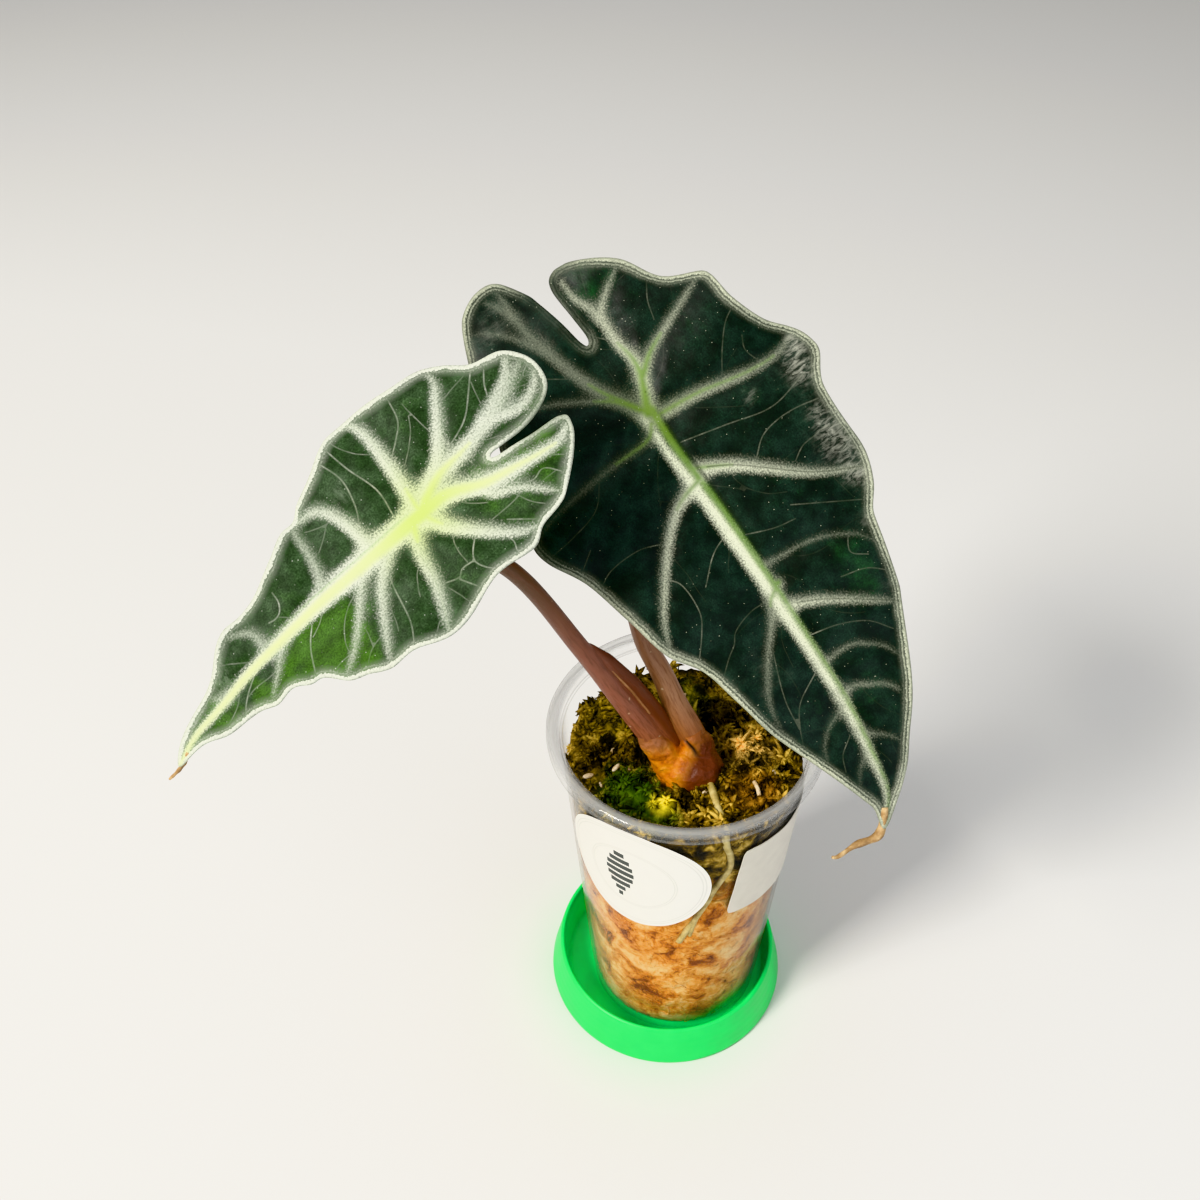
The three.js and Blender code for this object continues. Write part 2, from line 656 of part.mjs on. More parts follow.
function labelGeometry({ angle, z, tilt = 0 }, edge) {
  const shares = [0.2, 0.4, 0.6, 0.8, 1];
  const cos = Math.cos(THREE.MathUtils.degToRad(tilt));
  const sin = Math.sin(THREE.MathUtils.degToRad(tilt));
  const middle = THREE.MathUtils.degToRad(angle);
  const flat = [[0, 0]];
  for (const share of shares) {
    for (const [x, y] of edge) {
      flat.push([share * (x * cos - y * sin), share * (x * sin + y * cos)]);
    }
  }
  const positions = [];
  for (const offset of [LABEL.gap + LABEL.thickness, LABEL.gap]) {
    for (const [x, y] of flat) {
      const height = z + y;
      const radius = wallRadius(height) + offset;
      const around = middle + x / wallRadius(z);
      positions.push(CUP.x + radius * Math.sin(around), -radius * Math.cos(around), height);
    }
  }
  const count = flat.length;
  const spokes = edge.length;
  const triangles = [];
  for (let i = 0; i < spokes; i += 1) {
    const next = (i + 1) % spokes;
    const faces = [[0, 1 + i, 1 + next]];
    for (let k = 0; k + 1 < shares.length; k += 1) {
      const inner = 1 + k * spokes;
      const outer = inner + spokes;
      faces.push([inner + i, outer + i, outer + next], [inner + i, outer + next, inner + next]);
    }
    for (const [a, b, c] of faces) {
      triangles.push(a, b, c, count + a, count + c, count + b);
    }
    const rim = count - spokes;
    triangles.push(rim + i, count + rim + i, count + rim + next, rim + i, count + rim + next, rim + next);
  }
  return indexedGeometry(positions, triangles);
}

function discEdge(radius, count) {
  return Array.from({ length: count }, (_, i) => {
    const turn = (2 * Math.PI * i) / count;
    return [radius * Math.cos(turn), radius * Math.sin(turn)];
  });
}

function rectangleEdge({ width, height }) {
  const edge = [];
  const across = 9;
  const up = 3;
  for (let i = 0; i < across; i += 1) {
    edge.push([width * (i / across - 0.5), -height / 2]);
  }
  for (let i = 0; i < up; i += 1) {
    edge.push([width / 2, height * (i / up - 0.5)]);
  }
  return [...edge, ...edge.map(([x, y]) => [-x, -y])];
}

// The scene graph

const model = new THREE.Group();

function addPiece(name, geometry, colour, roughness, metalness = 0) {
  const material = new THREE.MeshStandardMaterial({ color: colour, roughness, metalness });
  const mesh = new THREE.Mesh(geometry, material);
  mesh.name = name;
  model.add(mesh);
  return mesh;
}

addPiece('stand', standGeometry(), COLOURS.stand, 0.45);

const cup = addPiece('cup', cupGeometry(), COLOURS.cup, 0.1);
cup.position.x = CUP.x;

const leftStalkRoom = stalkSolid(LEFT_STALK, LEFT_LEAF, CLEARANCE).add(sheathSolid(CLEARANCE));
const rightStalkRoom = stalkSolid(RIGHT_STALK, RIGHT_LEAF, CLEARANCE);

const cormRoom = cormSolid(CLEARANCE);
const root = rootSolid().subtract(cormRoom);
const moss = mossBody().subtract(cormRoom).subtract(rootSolid(CLEARANCE));
addPiece('moss', toGeometry(moss), COLOURS.moss, 1);
addPiece('root_front', toGeometry(root), COLOURS.root, 0.6);

const corm = cormSolid().subtract(leftStalkRoom).subtract(rightStalkRoom);
addPiece('corm', toGeometry(corm), COLOURS.corm, 0.7);

const leftStalk = stalkSolid(LEFT_STALK, LEFT_LEAF).add(sheathSolid()).subtract(rightStalkRoom);
addPiece('petiole_left', toGeometry(leftStalk), COLOURS.petioleLeft, 0.5);
addPiece('petiole_right', toGeometry(stalkSolid(RIGHT_STALK, RIGHT_LEAF)), COLOURS.petioleRight, 0.5);

for (const [leaf, colour] of [[LEFT_LEAF, COLOURS.bladeLeft], [RIGHT_LEAF, COLOURS.bladeRight]]) {
  const blade = addPiece(leaf.name, toGeometry(bladeSolid(leaf)), colour, 0.4);
  blade.position.set(...leaf.junction);
  blade.quaternion.copy(bladeRotation(leaf));
}

addPiece('label_round', labelGeometry(ROUND_LABEL, discEdge(ROUND_LABEL.radius, 28)), COLOURS.paper, 0.7);
addPiece('label_square', labelGeometry(SQUARE_LABEL, rectangleEdge(SQUARE_LABEL)), COLOURS.paper, 0.7);

export default model;
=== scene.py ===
"""Dresses a potted variegated alocasia: blades, stalks, corm, moss, clear cup, labels and stand.

Sizes are millimetres in the part's frame until a mesh is made, which is in metres.
"""

from __future__ import annotations

import json
import logging
import math
from collections.abc import Callable, Iterable, Sequence
from dataclasses import dataclass
from enum import Enum
from functools import cached_property, partial
from types import SimpleNamespace

import bpy
import numpy as np
from mathutils import Matrix, Vector, noise
from mathutils.geometry import delaunay_2d_cdt

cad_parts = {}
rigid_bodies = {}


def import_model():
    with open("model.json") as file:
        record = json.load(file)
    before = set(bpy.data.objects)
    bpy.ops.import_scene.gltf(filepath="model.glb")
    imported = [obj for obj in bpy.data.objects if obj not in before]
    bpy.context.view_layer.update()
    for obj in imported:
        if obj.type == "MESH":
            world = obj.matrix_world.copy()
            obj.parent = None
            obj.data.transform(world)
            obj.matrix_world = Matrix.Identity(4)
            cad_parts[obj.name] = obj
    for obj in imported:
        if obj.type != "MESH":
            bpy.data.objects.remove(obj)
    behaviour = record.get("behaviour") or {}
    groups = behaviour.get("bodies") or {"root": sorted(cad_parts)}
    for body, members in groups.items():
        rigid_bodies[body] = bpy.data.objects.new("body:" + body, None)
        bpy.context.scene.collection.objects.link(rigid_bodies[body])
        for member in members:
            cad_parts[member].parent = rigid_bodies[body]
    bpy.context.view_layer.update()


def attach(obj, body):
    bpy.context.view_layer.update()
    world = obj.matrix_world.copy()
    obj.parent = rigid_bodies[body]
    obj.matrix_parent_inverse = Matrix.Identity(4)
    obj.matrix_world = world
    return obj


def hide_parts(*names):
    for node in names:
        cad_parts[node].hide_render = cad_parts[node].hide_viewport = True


LOG = logging.getLogger("alocasia")
MM = 0.001
BODY = "root"

Array = np.ndarray
Piece = bpy.types.Object
Material = bpy.types.Material
Place = tuple[float, float]
Spot = tuple[float, float, float]
Blob = tuple[float, float, float, float]
Colour = tuple[float, float, float, float]
Places = tuple[Place, ...]
Spots = tuple[Spot, ...]
Blobs = tuple[Blob, ...]
Row = tuple[float, ...]
Mesh = tuple[Array, list[tuple[int, ...]]]

# Settings of the nodes that blend colours, that tint one colour with another, and that ease a range.
BLEND = {"data_type": "RGBA", "output": 2}
TINT = {**BLEND, "blend_type": "MULTIPLY"}
SMOOTH = {"interpolation_type": "SMOOTHSTEP"}


# Small helpers


def linear(hex_colour: str) -> Colour:
    """Turns an sRGB hex colour into linear light.

    Args:
        hex_colour: Six hex digits after a hash sign.

    Returns:
        Linear red, green, blue and an alpha of one.
    """
    channels = [int(hex_colour[i : i + 2], 16) / 255 for i in (1, 3, 5)]
    light = [c / 12.92 if c <= 0.04045 else ((c + 0.055) / 1.055) ** 2.4 for c in channels]
    return (*light, 1.0)


def fill(node: bpy.types.Node, inputs: dict | Sequence) -> None:
    """Sets a node's inputs, or links them where a value is an output.

    Args:
        node: The node.
        inputs: Values or outputs, in order, or by the inputs' names or indices.
    """
    for key, value in inputs.items() if isinstance(inputs, dict) else enumerate(inputs):
        if isinstance(value, bpy.types.NodeSocket):
            node.id_data.links.new(value, node.inputs[key])
        else:
            node.inputs[key].default_value = value


def add_node(
    tree: bpy.types.NodeTree,
    kind: str,
    inputs: dict | Sequence = (),
    operation: str = "",
    output: int | str = 0,
    stops: Iterable[tuple[float, str | float]] = (),
    **settings: object,
) -> bpy.types.NodeSocket | None:
    """Adds a node with its settings and links.

    Args:
        tree: The tree that gets the node.
        kind: Blender's name for the node type. A shader node's goes without its prefix.
        inputs: Values or outputs for its inputs, in order, or by name or index.
        operation: What a node that calculates does.
        output: Name or index of the wanted output.
        stops: Places and hex colours, or grey levels, of a colour ramp.
        settings: Other properties of the node.

    Returns:
        The wanted output, or None where the node has none.
    """
    node = tree.nodes.new(kind if "Node" in kind else f"ShaderNode{kind}")
    if operation:
        node.operation = operation
    for name, value in settings.items():
        setattr(node, name, value)
    for index, (place, tone) in enumerate(stops):
        elements = node.color_ramp.elements
        stop = elements[index] if index < 2 else elements.new(place)
        stop.position = place
        stop.color = linear(tone) if isinstance(tone, str) else (tone, tone, tone, 1)
    fill(node, inputs)
    return node.outputs[output] if node.outputs else None


def blank_material(name: str) -> tuple[Material, bpy.types.Node, Callable]:
    """Makes a material that holds one principled shader.

    Args:
        name: What the real material is.

    Returns:
        The material, its shader node, and the function that adds a node to its tree.
    """
    material = bpy.data.materials.new(name)
    material.use_nodes = True
    tree = material.node_tree
    return material, tree.nodes["Principled BSDF"], partial(add_node, tree)


def smooth_path(knots: Sequence[Sequence[float]], spacing: float, closed: bool = False) -> Array:
    """Samples a centripetal Catmull-Rom curve at an even spacing.

    Args:
        knots: Points that the curve passes through.
        spacing: Distance between samples.
        closed: Whether the curve returns to its first point.

    Returns:
        The samples, one a row. A closed curve doesn't repeat its first sample.
    """
    points = np.asarray(knots, float)
    if closed:
        padded = np.vstack([points[-1], points, points[0], points[1]])
    else:
        padded = np.vstack([2 * points[0] - points[1], points, 2 * points[-1] - points[-2]])
    u = np.linspace(0, 1, 20, endpoint=False)[:, None]
    spans = []
    for a, b, c, d in zip(padded, padded[1:], padded[2:], padded[3:]):
        ab, bc, cd = (np.linalg.norm(q - p) ** 0.5 for p, q in ((a, b), (b, c), (c, d)))
        start = ((b - a) / ab - (c - a) / (ab + bc) + (c - b) / bc) * bc
        end = ((c - b) / bc - (d - b) / (bc + cd) + (d - c) / cd) * bc
        cubic = 2 * (b - c) + start + end
        spans.append(b + start * u + (3 * (c - b) - 2 * start - end) * u**2 + cubic * u**3)
    curve = np.vstack([*spans, points[:1] if closed else points[-1:]])
    lengths = np.concatenate([[0], np.cumsum(np.linalg.norm(np.diff(curve, axis=0), axis=1))])
    at = np.linspace(0, lengths[-1], max(2, round(lengths[-1] / spacing)) + 1)
    even = np.column_stack([np.interp(at, lengths, column) for column in curve.T])
    return even[:-1] if closed else even


def nearest_on_path(places: Array, path: Array) -> tuple[Array, Array, Array]:
    """Finds the nearest point of a path for each place.

    Args:
        places: Points, one a row.
        path: Points of the path, one a row.

    Returns:
        The distance, the share of the path's length, and the offset from the path.
    """
    steps = np.diff(path, axis=0)
    squares = (steps**2).sum(1)
    distance = np.empty(len(places))
    share = np.empty(len(places))
    offset = np.empty_like(places)
    parts = max(1, len(places) * len(steps) // 3_000_000)
    for rows in np.array_split(np.arange(len(places)), parts):
        reach = places[rows, None, :] - path[None, :-1]
        along = np.clip((reach * steps).sum(2) / squares, 0, 1)
        gap = reach - along[..., None] * steps
        index = (gap**2).sum(2).argmin(1)
        pick = np.arange(len(rows))
        offset[rows] = gap[pick, index]
        distance[rows] = np.linalg.norm(gap[pick, index], axis=1)
        share[rows] = (index + along[pick, index]) / len(steps)
    return distance, share, offset


def path_gap(places: Array, path: Array) -> Array:
    """Measures how far places lie from the nearest point of a path.

    Args:
        places: Points, one a row.
        path: Points of the path, one a row.

    Returns:
        One distance a place.
    """
    chunks = np.array_split(places, max(1, len(places) * len(path) // 1_000_000))
    return np.concatenate([np.linalg.norm(rows[:, None] - path, axis=2).min(1) for rows in chunks])


def inside(places: Array, outline: Array) -> Array:
    """Tells which places lie inside a closed outline.

    Args:
        places: Flat points, one a row.
        outline: Flat points of the outline.

    Returns:
        One truth value a place.
    """
    s0, w0 = outline.T
    s1, w1 = np.roll(outline, -1, axis=0).T
    found = np.empty(len(places), bool)
    for rows in np.array_split(np.arange(len(places)), max(1, len(places) // 4000)):
        s, w = places[rows, 0, None], places[rows, 1, None]
        with np.errstate(divide="ignore", invalid="ignore"):
            reach = s0 + (w - w0) / (w1 - w0) * (s1 - s0)
        found[rows] = (((w0 > w) != (w1 > w)) & (s < reach)).sum(1) % 2 == 1
    return found


def fractal(places: Array, size: float, seed: float, octaves: int = 4) -> Array:
    """Samples smooth fractal noise.

    Args:
        places: Points in millimetres, one a row.
        size: Width of the largest lumps in millimetres.
        seed: Shift that gives another pattern.
        octaves: How many finer layers are added.

    Returns:
        One value a place, roughly from -1 to 1.
    """
    shift = Vector((seed * 7.3, seed * 3.1, seed * 5.7))
    scaled = places / size
    if places.shape[1] == 2:
        scaled = np.column_stack([scaled, np.zeros(len(places))])
    return np.array([noise.fractal(Vector(p) + shift, 0.9, 2.0, octaves) for p in scaled])


def new_object(name: str, data: bpy.types.ID) -> Piece:
    """Makes an object from its data and links it to the scene.

    Args:
        name: Its name.
        data: Its mesh, camera or light.

    Returns:
        The new object.
    """
    item = bpy.data.objects.new(name, data)
    bpy.context.scene.collection.objects.link(item)
    return item


def make_mesh(name: str, places: Array, faces: Sequence[Sequence[int]], crease: float = 180) -> Piece:
    """Makes an object in metres from millimetre points, smooth shaded.

    Args:
        name: Name of the piece.
        places: Points in millimetres, one a row.
        faces: Corner indices of each face, turning leftward seen from outside.
        crease: Edges that bend by more degrees stay sharp.

    Returns:
        The new object, at the origin.
    """
    mesh = bpy.data.meshes.new(name)
    mesh.from_pydata((np.asarray(places) * MM).tolist(), [], [list(map(int, f)) for f in faces])
    mesh.polygons.foreach_set("use_smooth", [True] * len(mesh.polygons))
    mesh.update()
    if crease < 180:
        mesh.set_sharp_from_angle(angle=math.radians(crease))
    return new_object(name, mesh)


def store(piece: Piece, **fields: Array) -> None:
    """Stores named attributes of a piece.

    Args:
        piece: The piece.
        fields: One number or one vector a point, by the attribute's name.
    """
    for name, values in fields.items():
        kind, key = ("FLOAT", "value") if values.ndim == 1 else ("FLOAT_VECTOR", "vector")
        piece.data.attributes.new(name, kind, "POINT").data.foreach_set(key, values.ravel())


def store_uv(piece: Piece, name: str, values: Array) -> None:
    """Stores a UV map.

    Args:
        piece: The piece.
        name: Name of the map.
        values: One pair of numbers a point.
    """
    layer = piece.data.uv_layers.new(name=name)
    corners = np.empty(len(piece.data.loops), np.int32)
    piece.data.loops.foreach_get("vertex_index", corners)
    layer.uv.foreach_set("vector", values[corners].ravel())


def baked(piece: Piece) -> Piece:
    """Turns a piece's modifiers into its mesh, smooth shaded, and removes them.

    Args:
        piece: The piece.

    Returns:
        The same piece.
    """
    graph = bpy.context.evaluated_depsgraph_get()
    mesh = bpy.data.meshes.new_from_object(piece.evaluated_get(graph), depsgraph=graph)
    mesh.polygons.foreach_set("use_smooth", [True] * len(mesh.polygons))
    piece.modifiers.clear()
    old, piece.data = piece.data, mesh
    bpy.data.meshes.remove(old)
    return piece


def mesh_places(piece: Piece) -> Array:
    """Reads a piece's points.

    Args:
        piece: The piece.

    Returns:
        Its points in millimetres, one a row.
    """
    flat = np.empty(3 * len(piece.data.vertices), np.float32)
    piece.data.vertices.foreach_get("co", flat)
    return flat.reshape(-1, 3).astype(float) / MM


def move_points(piece: Piece, places: Array) -> None:
    """Moves a piece's points to places in millimetres."""
    piece.data.vertices.foreach_set("co", (places * MM).ravel())
    piece.data.update()


def fuse(piece: Piece, voxel: float, rounds: int) -> Array:
    """Fuses a piece's overlapping tubes into one skin, and softens it.

    Args:
        piece: The piece.
        voxel: Size of the voxels in millimetres.
        rounds: How many times the skin is softened.

    Returns:
        The points of the skin in millimetres.
    """
    remesh = piece.modifiers.new("fuse", "REMESH")
    remesh.mode = "VOXEL"
    remesh.voxel_size = voxel * MM
    soften = piece.modifiers.new("soften", "SMOOTH")
    soften.factor = 0.5
    soften.iterations = rounds
    return mesh_places(baked(piece))


def finish_piece(piece: Piece, slot: str, material: Material | None, *nodes: str) -> None:
    """Puts a piece on the body with its finish, and reports it.

    Args:
        piece: The piece.
        slot: The material slot that its finish belongs to. Not used.
        material: Its finish, or None where the piece has its materials already.
        nodes: The solids that it replaces.
    """
    if material is not None:
        piece.data.materials.clear()
        piece.data.materials.append(material)
    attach(piece, BODY)
    if nodes:
        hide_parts(*nodes)
    LOG.info("%s: %d faces", piece.name, len(piece.data.polygons))


# Meshes from rules


def frames_along(path: Array) -> tuple[Array, Array]:
    """Carries a sideways direction along a path without twist.

    Args:
        path: Points of the path, one a row.

    Returns:
        Two unit directions across the path at each point.
    """
    tangents = np.gradient(path, axis=0)
    tangents /= np.linalg.norm(tangents, axis=1)[:, None]
    # Any direction that the path doesn't start along.
    side = np.cross(tangents[0], (0.31, 0.17, 0.93))
    sides = []
    for tangent in tangents:
        side = side - side.dot(tangent) * tangent
        side /= np.linalg.norm(side)
        sides.append(side)
    first = np.array(sides)
    return first, np.cross(tangents, first)


def at_shares(values: Sequence[float], share: Array) -> Array:
    """Reads values that are spread evenly over a length at shares of that length."""
    return np.interp(share, np.linspace(0, 1, len(values)), values)


def ring_faces(low: int, high: int, count: int) -> list[tuple[int, ...]]:
    """Joins two rings of points with faces."""
    steps = [(i, (i + 1) % count) for i in range(count)]
    return [(low + i, low + j, high + j, high + i) for i, j in steps]


def hump(distance: Array, width: float) -> Array:
    """Gives the height of a rounded hump of height one, at distances from its middle."""
    return np.exp(-((distance / width) ** 2))


def tube(path: Array, radii: Array, sides: int) -> Mesh:
    """Makes a closed round tube.

    Args:
        path: Points of its centre line, one a row.
        radii: Its radius at each point.
        sides: Number of corners round it.

    Returns:
        Points and faces.
    """
    across, up = frames_along(path)
    turn = np.arange(sides) * 2 * math.pi / sides
    rings = (
        path[:, None]
        + radii[:, None, None] * np.cos(turn)[None, :, None] * across[:, None]
        + radii[:, None, None] * np.sin(turn)[None, :, None] * up[:, None]
    )
    last = (len(path) - 1) * sides
    faces = [face for low in range(0, last, sides) for face in ring_faces(low, low + sides, sides)]
    faces += [tuple(reversed(range(sides))), tuple(range(last, last + sides))]
    return rings.reshape(-1, 3), faces


def lathe(profile: Sequence[Place], segments: int = 144) -> Mesh:
    """Turns a profile round the Z axis.

    Args:
        profile: Radius and height pairs that start and end on the axis, going up outside.
        segments: Number of steps round.

    Returns:
        Points and faces.
    """
    turn = np.arange(segments) * 2 * math.pi / segments
    places, rows = [], []
    for radius, height in profile:
        if radius == 0:
            rows.append([len(places)] * segments)
            places.append((0.0, 0.0, height))
        else:
            rows.append(list(range(len(places), len(places) + segments)))
            places += [(radius * math.cos(a), radius * math.sin(a), height) for a in turn]
    faces = []
    for low, high in zip(rows, rows[1:]):
        for j in range(segments):
            k = (j + 1) % segments
            face = dict.fromkeys((low[j], low[k], high[k], high[j]))
            if len(face) > 2:
                faces.append(tuple(face))
    return np.array(places), faces


def joined(parts: Sequence[Mesh]) -> Mesh:
    """Puts several meshes into one.

    Args:
        parts: Points and faces of each.

    Returns:
        Points and faces of all.
    """
    places, faces, count = [], [], 0
    for points, polygons in parts:
        faces += [tuple(i + count for i in polygon) for polygon in polygons]
        places.append(points)
        count += len(points)
    return np.vstack(places), faces


# Leaf shapes


@dataclass(frozen=True)
class Vein:
    """A main vein of a leaf."""

    path: Places  # Its course in the leaf's own frame.
    band: float  # Width of its pale band at the root.
    rib: float  # Width of the rib under it at the root.
    shine: float  # How bright its band is.
    core: float = 0.0  # Width of its coloured core at the root.
    core_reach: float = 0.2  # Share of the length that the core's colour reaches.
    core_shift: float = 0.0  # How far the core lies to the right of the path.
    band_shift: float = 0.0  # How far the band lies to the right of the path.
    seam: float = 0.0  # Strength of the darker line along its middle.
    thin: float = 0.0  # How much narrower its band becomes towards its end.
    wake: float = 1.0  # Share of its width that its band has at its root.


@dataclass(frozen=True)
class LeafShape:
    """The shape of one leaf in its own frame: s along the midrib, w to the right, then up."""

    junction: Spot  # Where the blade meets its stalk, in the part's frame.
    midrib: Spot  # Direction that the midrib takes from there.
    normal: Spot  # Direction that the upper face looks in.
    arch: float  # How much the blade bends down towards its sides.
    wave: Spot  # Height, length and shift of the waves along the margin.
    outline: Places  # Points of the margin.
    veins: tuple[Vein, ...]  # The main veins, the midrib first.
    fine_veins: tuple[Places, ...]  # Courses of the thin veins.
    patches: Blobs  # Place, radius and strength of each patch, pale or below zero dark.
    silver: Blobs  # The same of each silvery place, whose glints are painted highlights.
    painted_margin_shade_spots: Blobs  # The same of each place where the pale margin is darkened with painted shade.
    thread: Spots  # Points of the dry tip, each with its height over the blade.
    thread_radii: Row  # Radii spread evenly along it.
    tip_bend: float = 0.0006  # How much the blade bends down towards its tip.
    lobe_bend: float = 0.001  # How much it bends down towards its lobes.
    fold: float = 0.2  # How steeply its halves rise from the midrib.

    def world(self, local: Array) -> Array:
        """Moves points from the leaf's own frame to the part's frame.

        Args:
            local: Points in the leaf's frame, one a row.

        Returns:
            The same points in the part's frame.
        """
        normal = np.array(self.normal) / np.linalg.norm(self.normal)
        midrib = np.array(self.midrib) - normal * np.dot(self.midrib, normal)
        midrib /= np.linalg.norm(midrib)
        return np.array(self.junction) + local @ np.array([midrib, np.cross(normal, midrib), normal])

    def height(self, places: Array, margin: Array) -> Array:
        """Gives the height of the bent, folded and waved blade without its veins.

        Args:
            places: Flat points of the blade.
            margin: Their distance from the margin.

        Returns:
            One height a point.
        """
        s, w = places.T
        bend = np.where(s > 0, self.tip_bend, self.lobe_bend)
        # The fold is rounded over 6 mm, and the waves die out 7 mm in from the margin.
        plane = -bend * s**2 + self.fold * (np.hypot(w, 6) - 6) - self.arch * w**2
        rise, length, shift = self.wave
        phase = 2 * math.pi * ((s + shift) / length + w / 90)
        return plane + rise * np.exp(-margin / 7) * np.sin(phase)


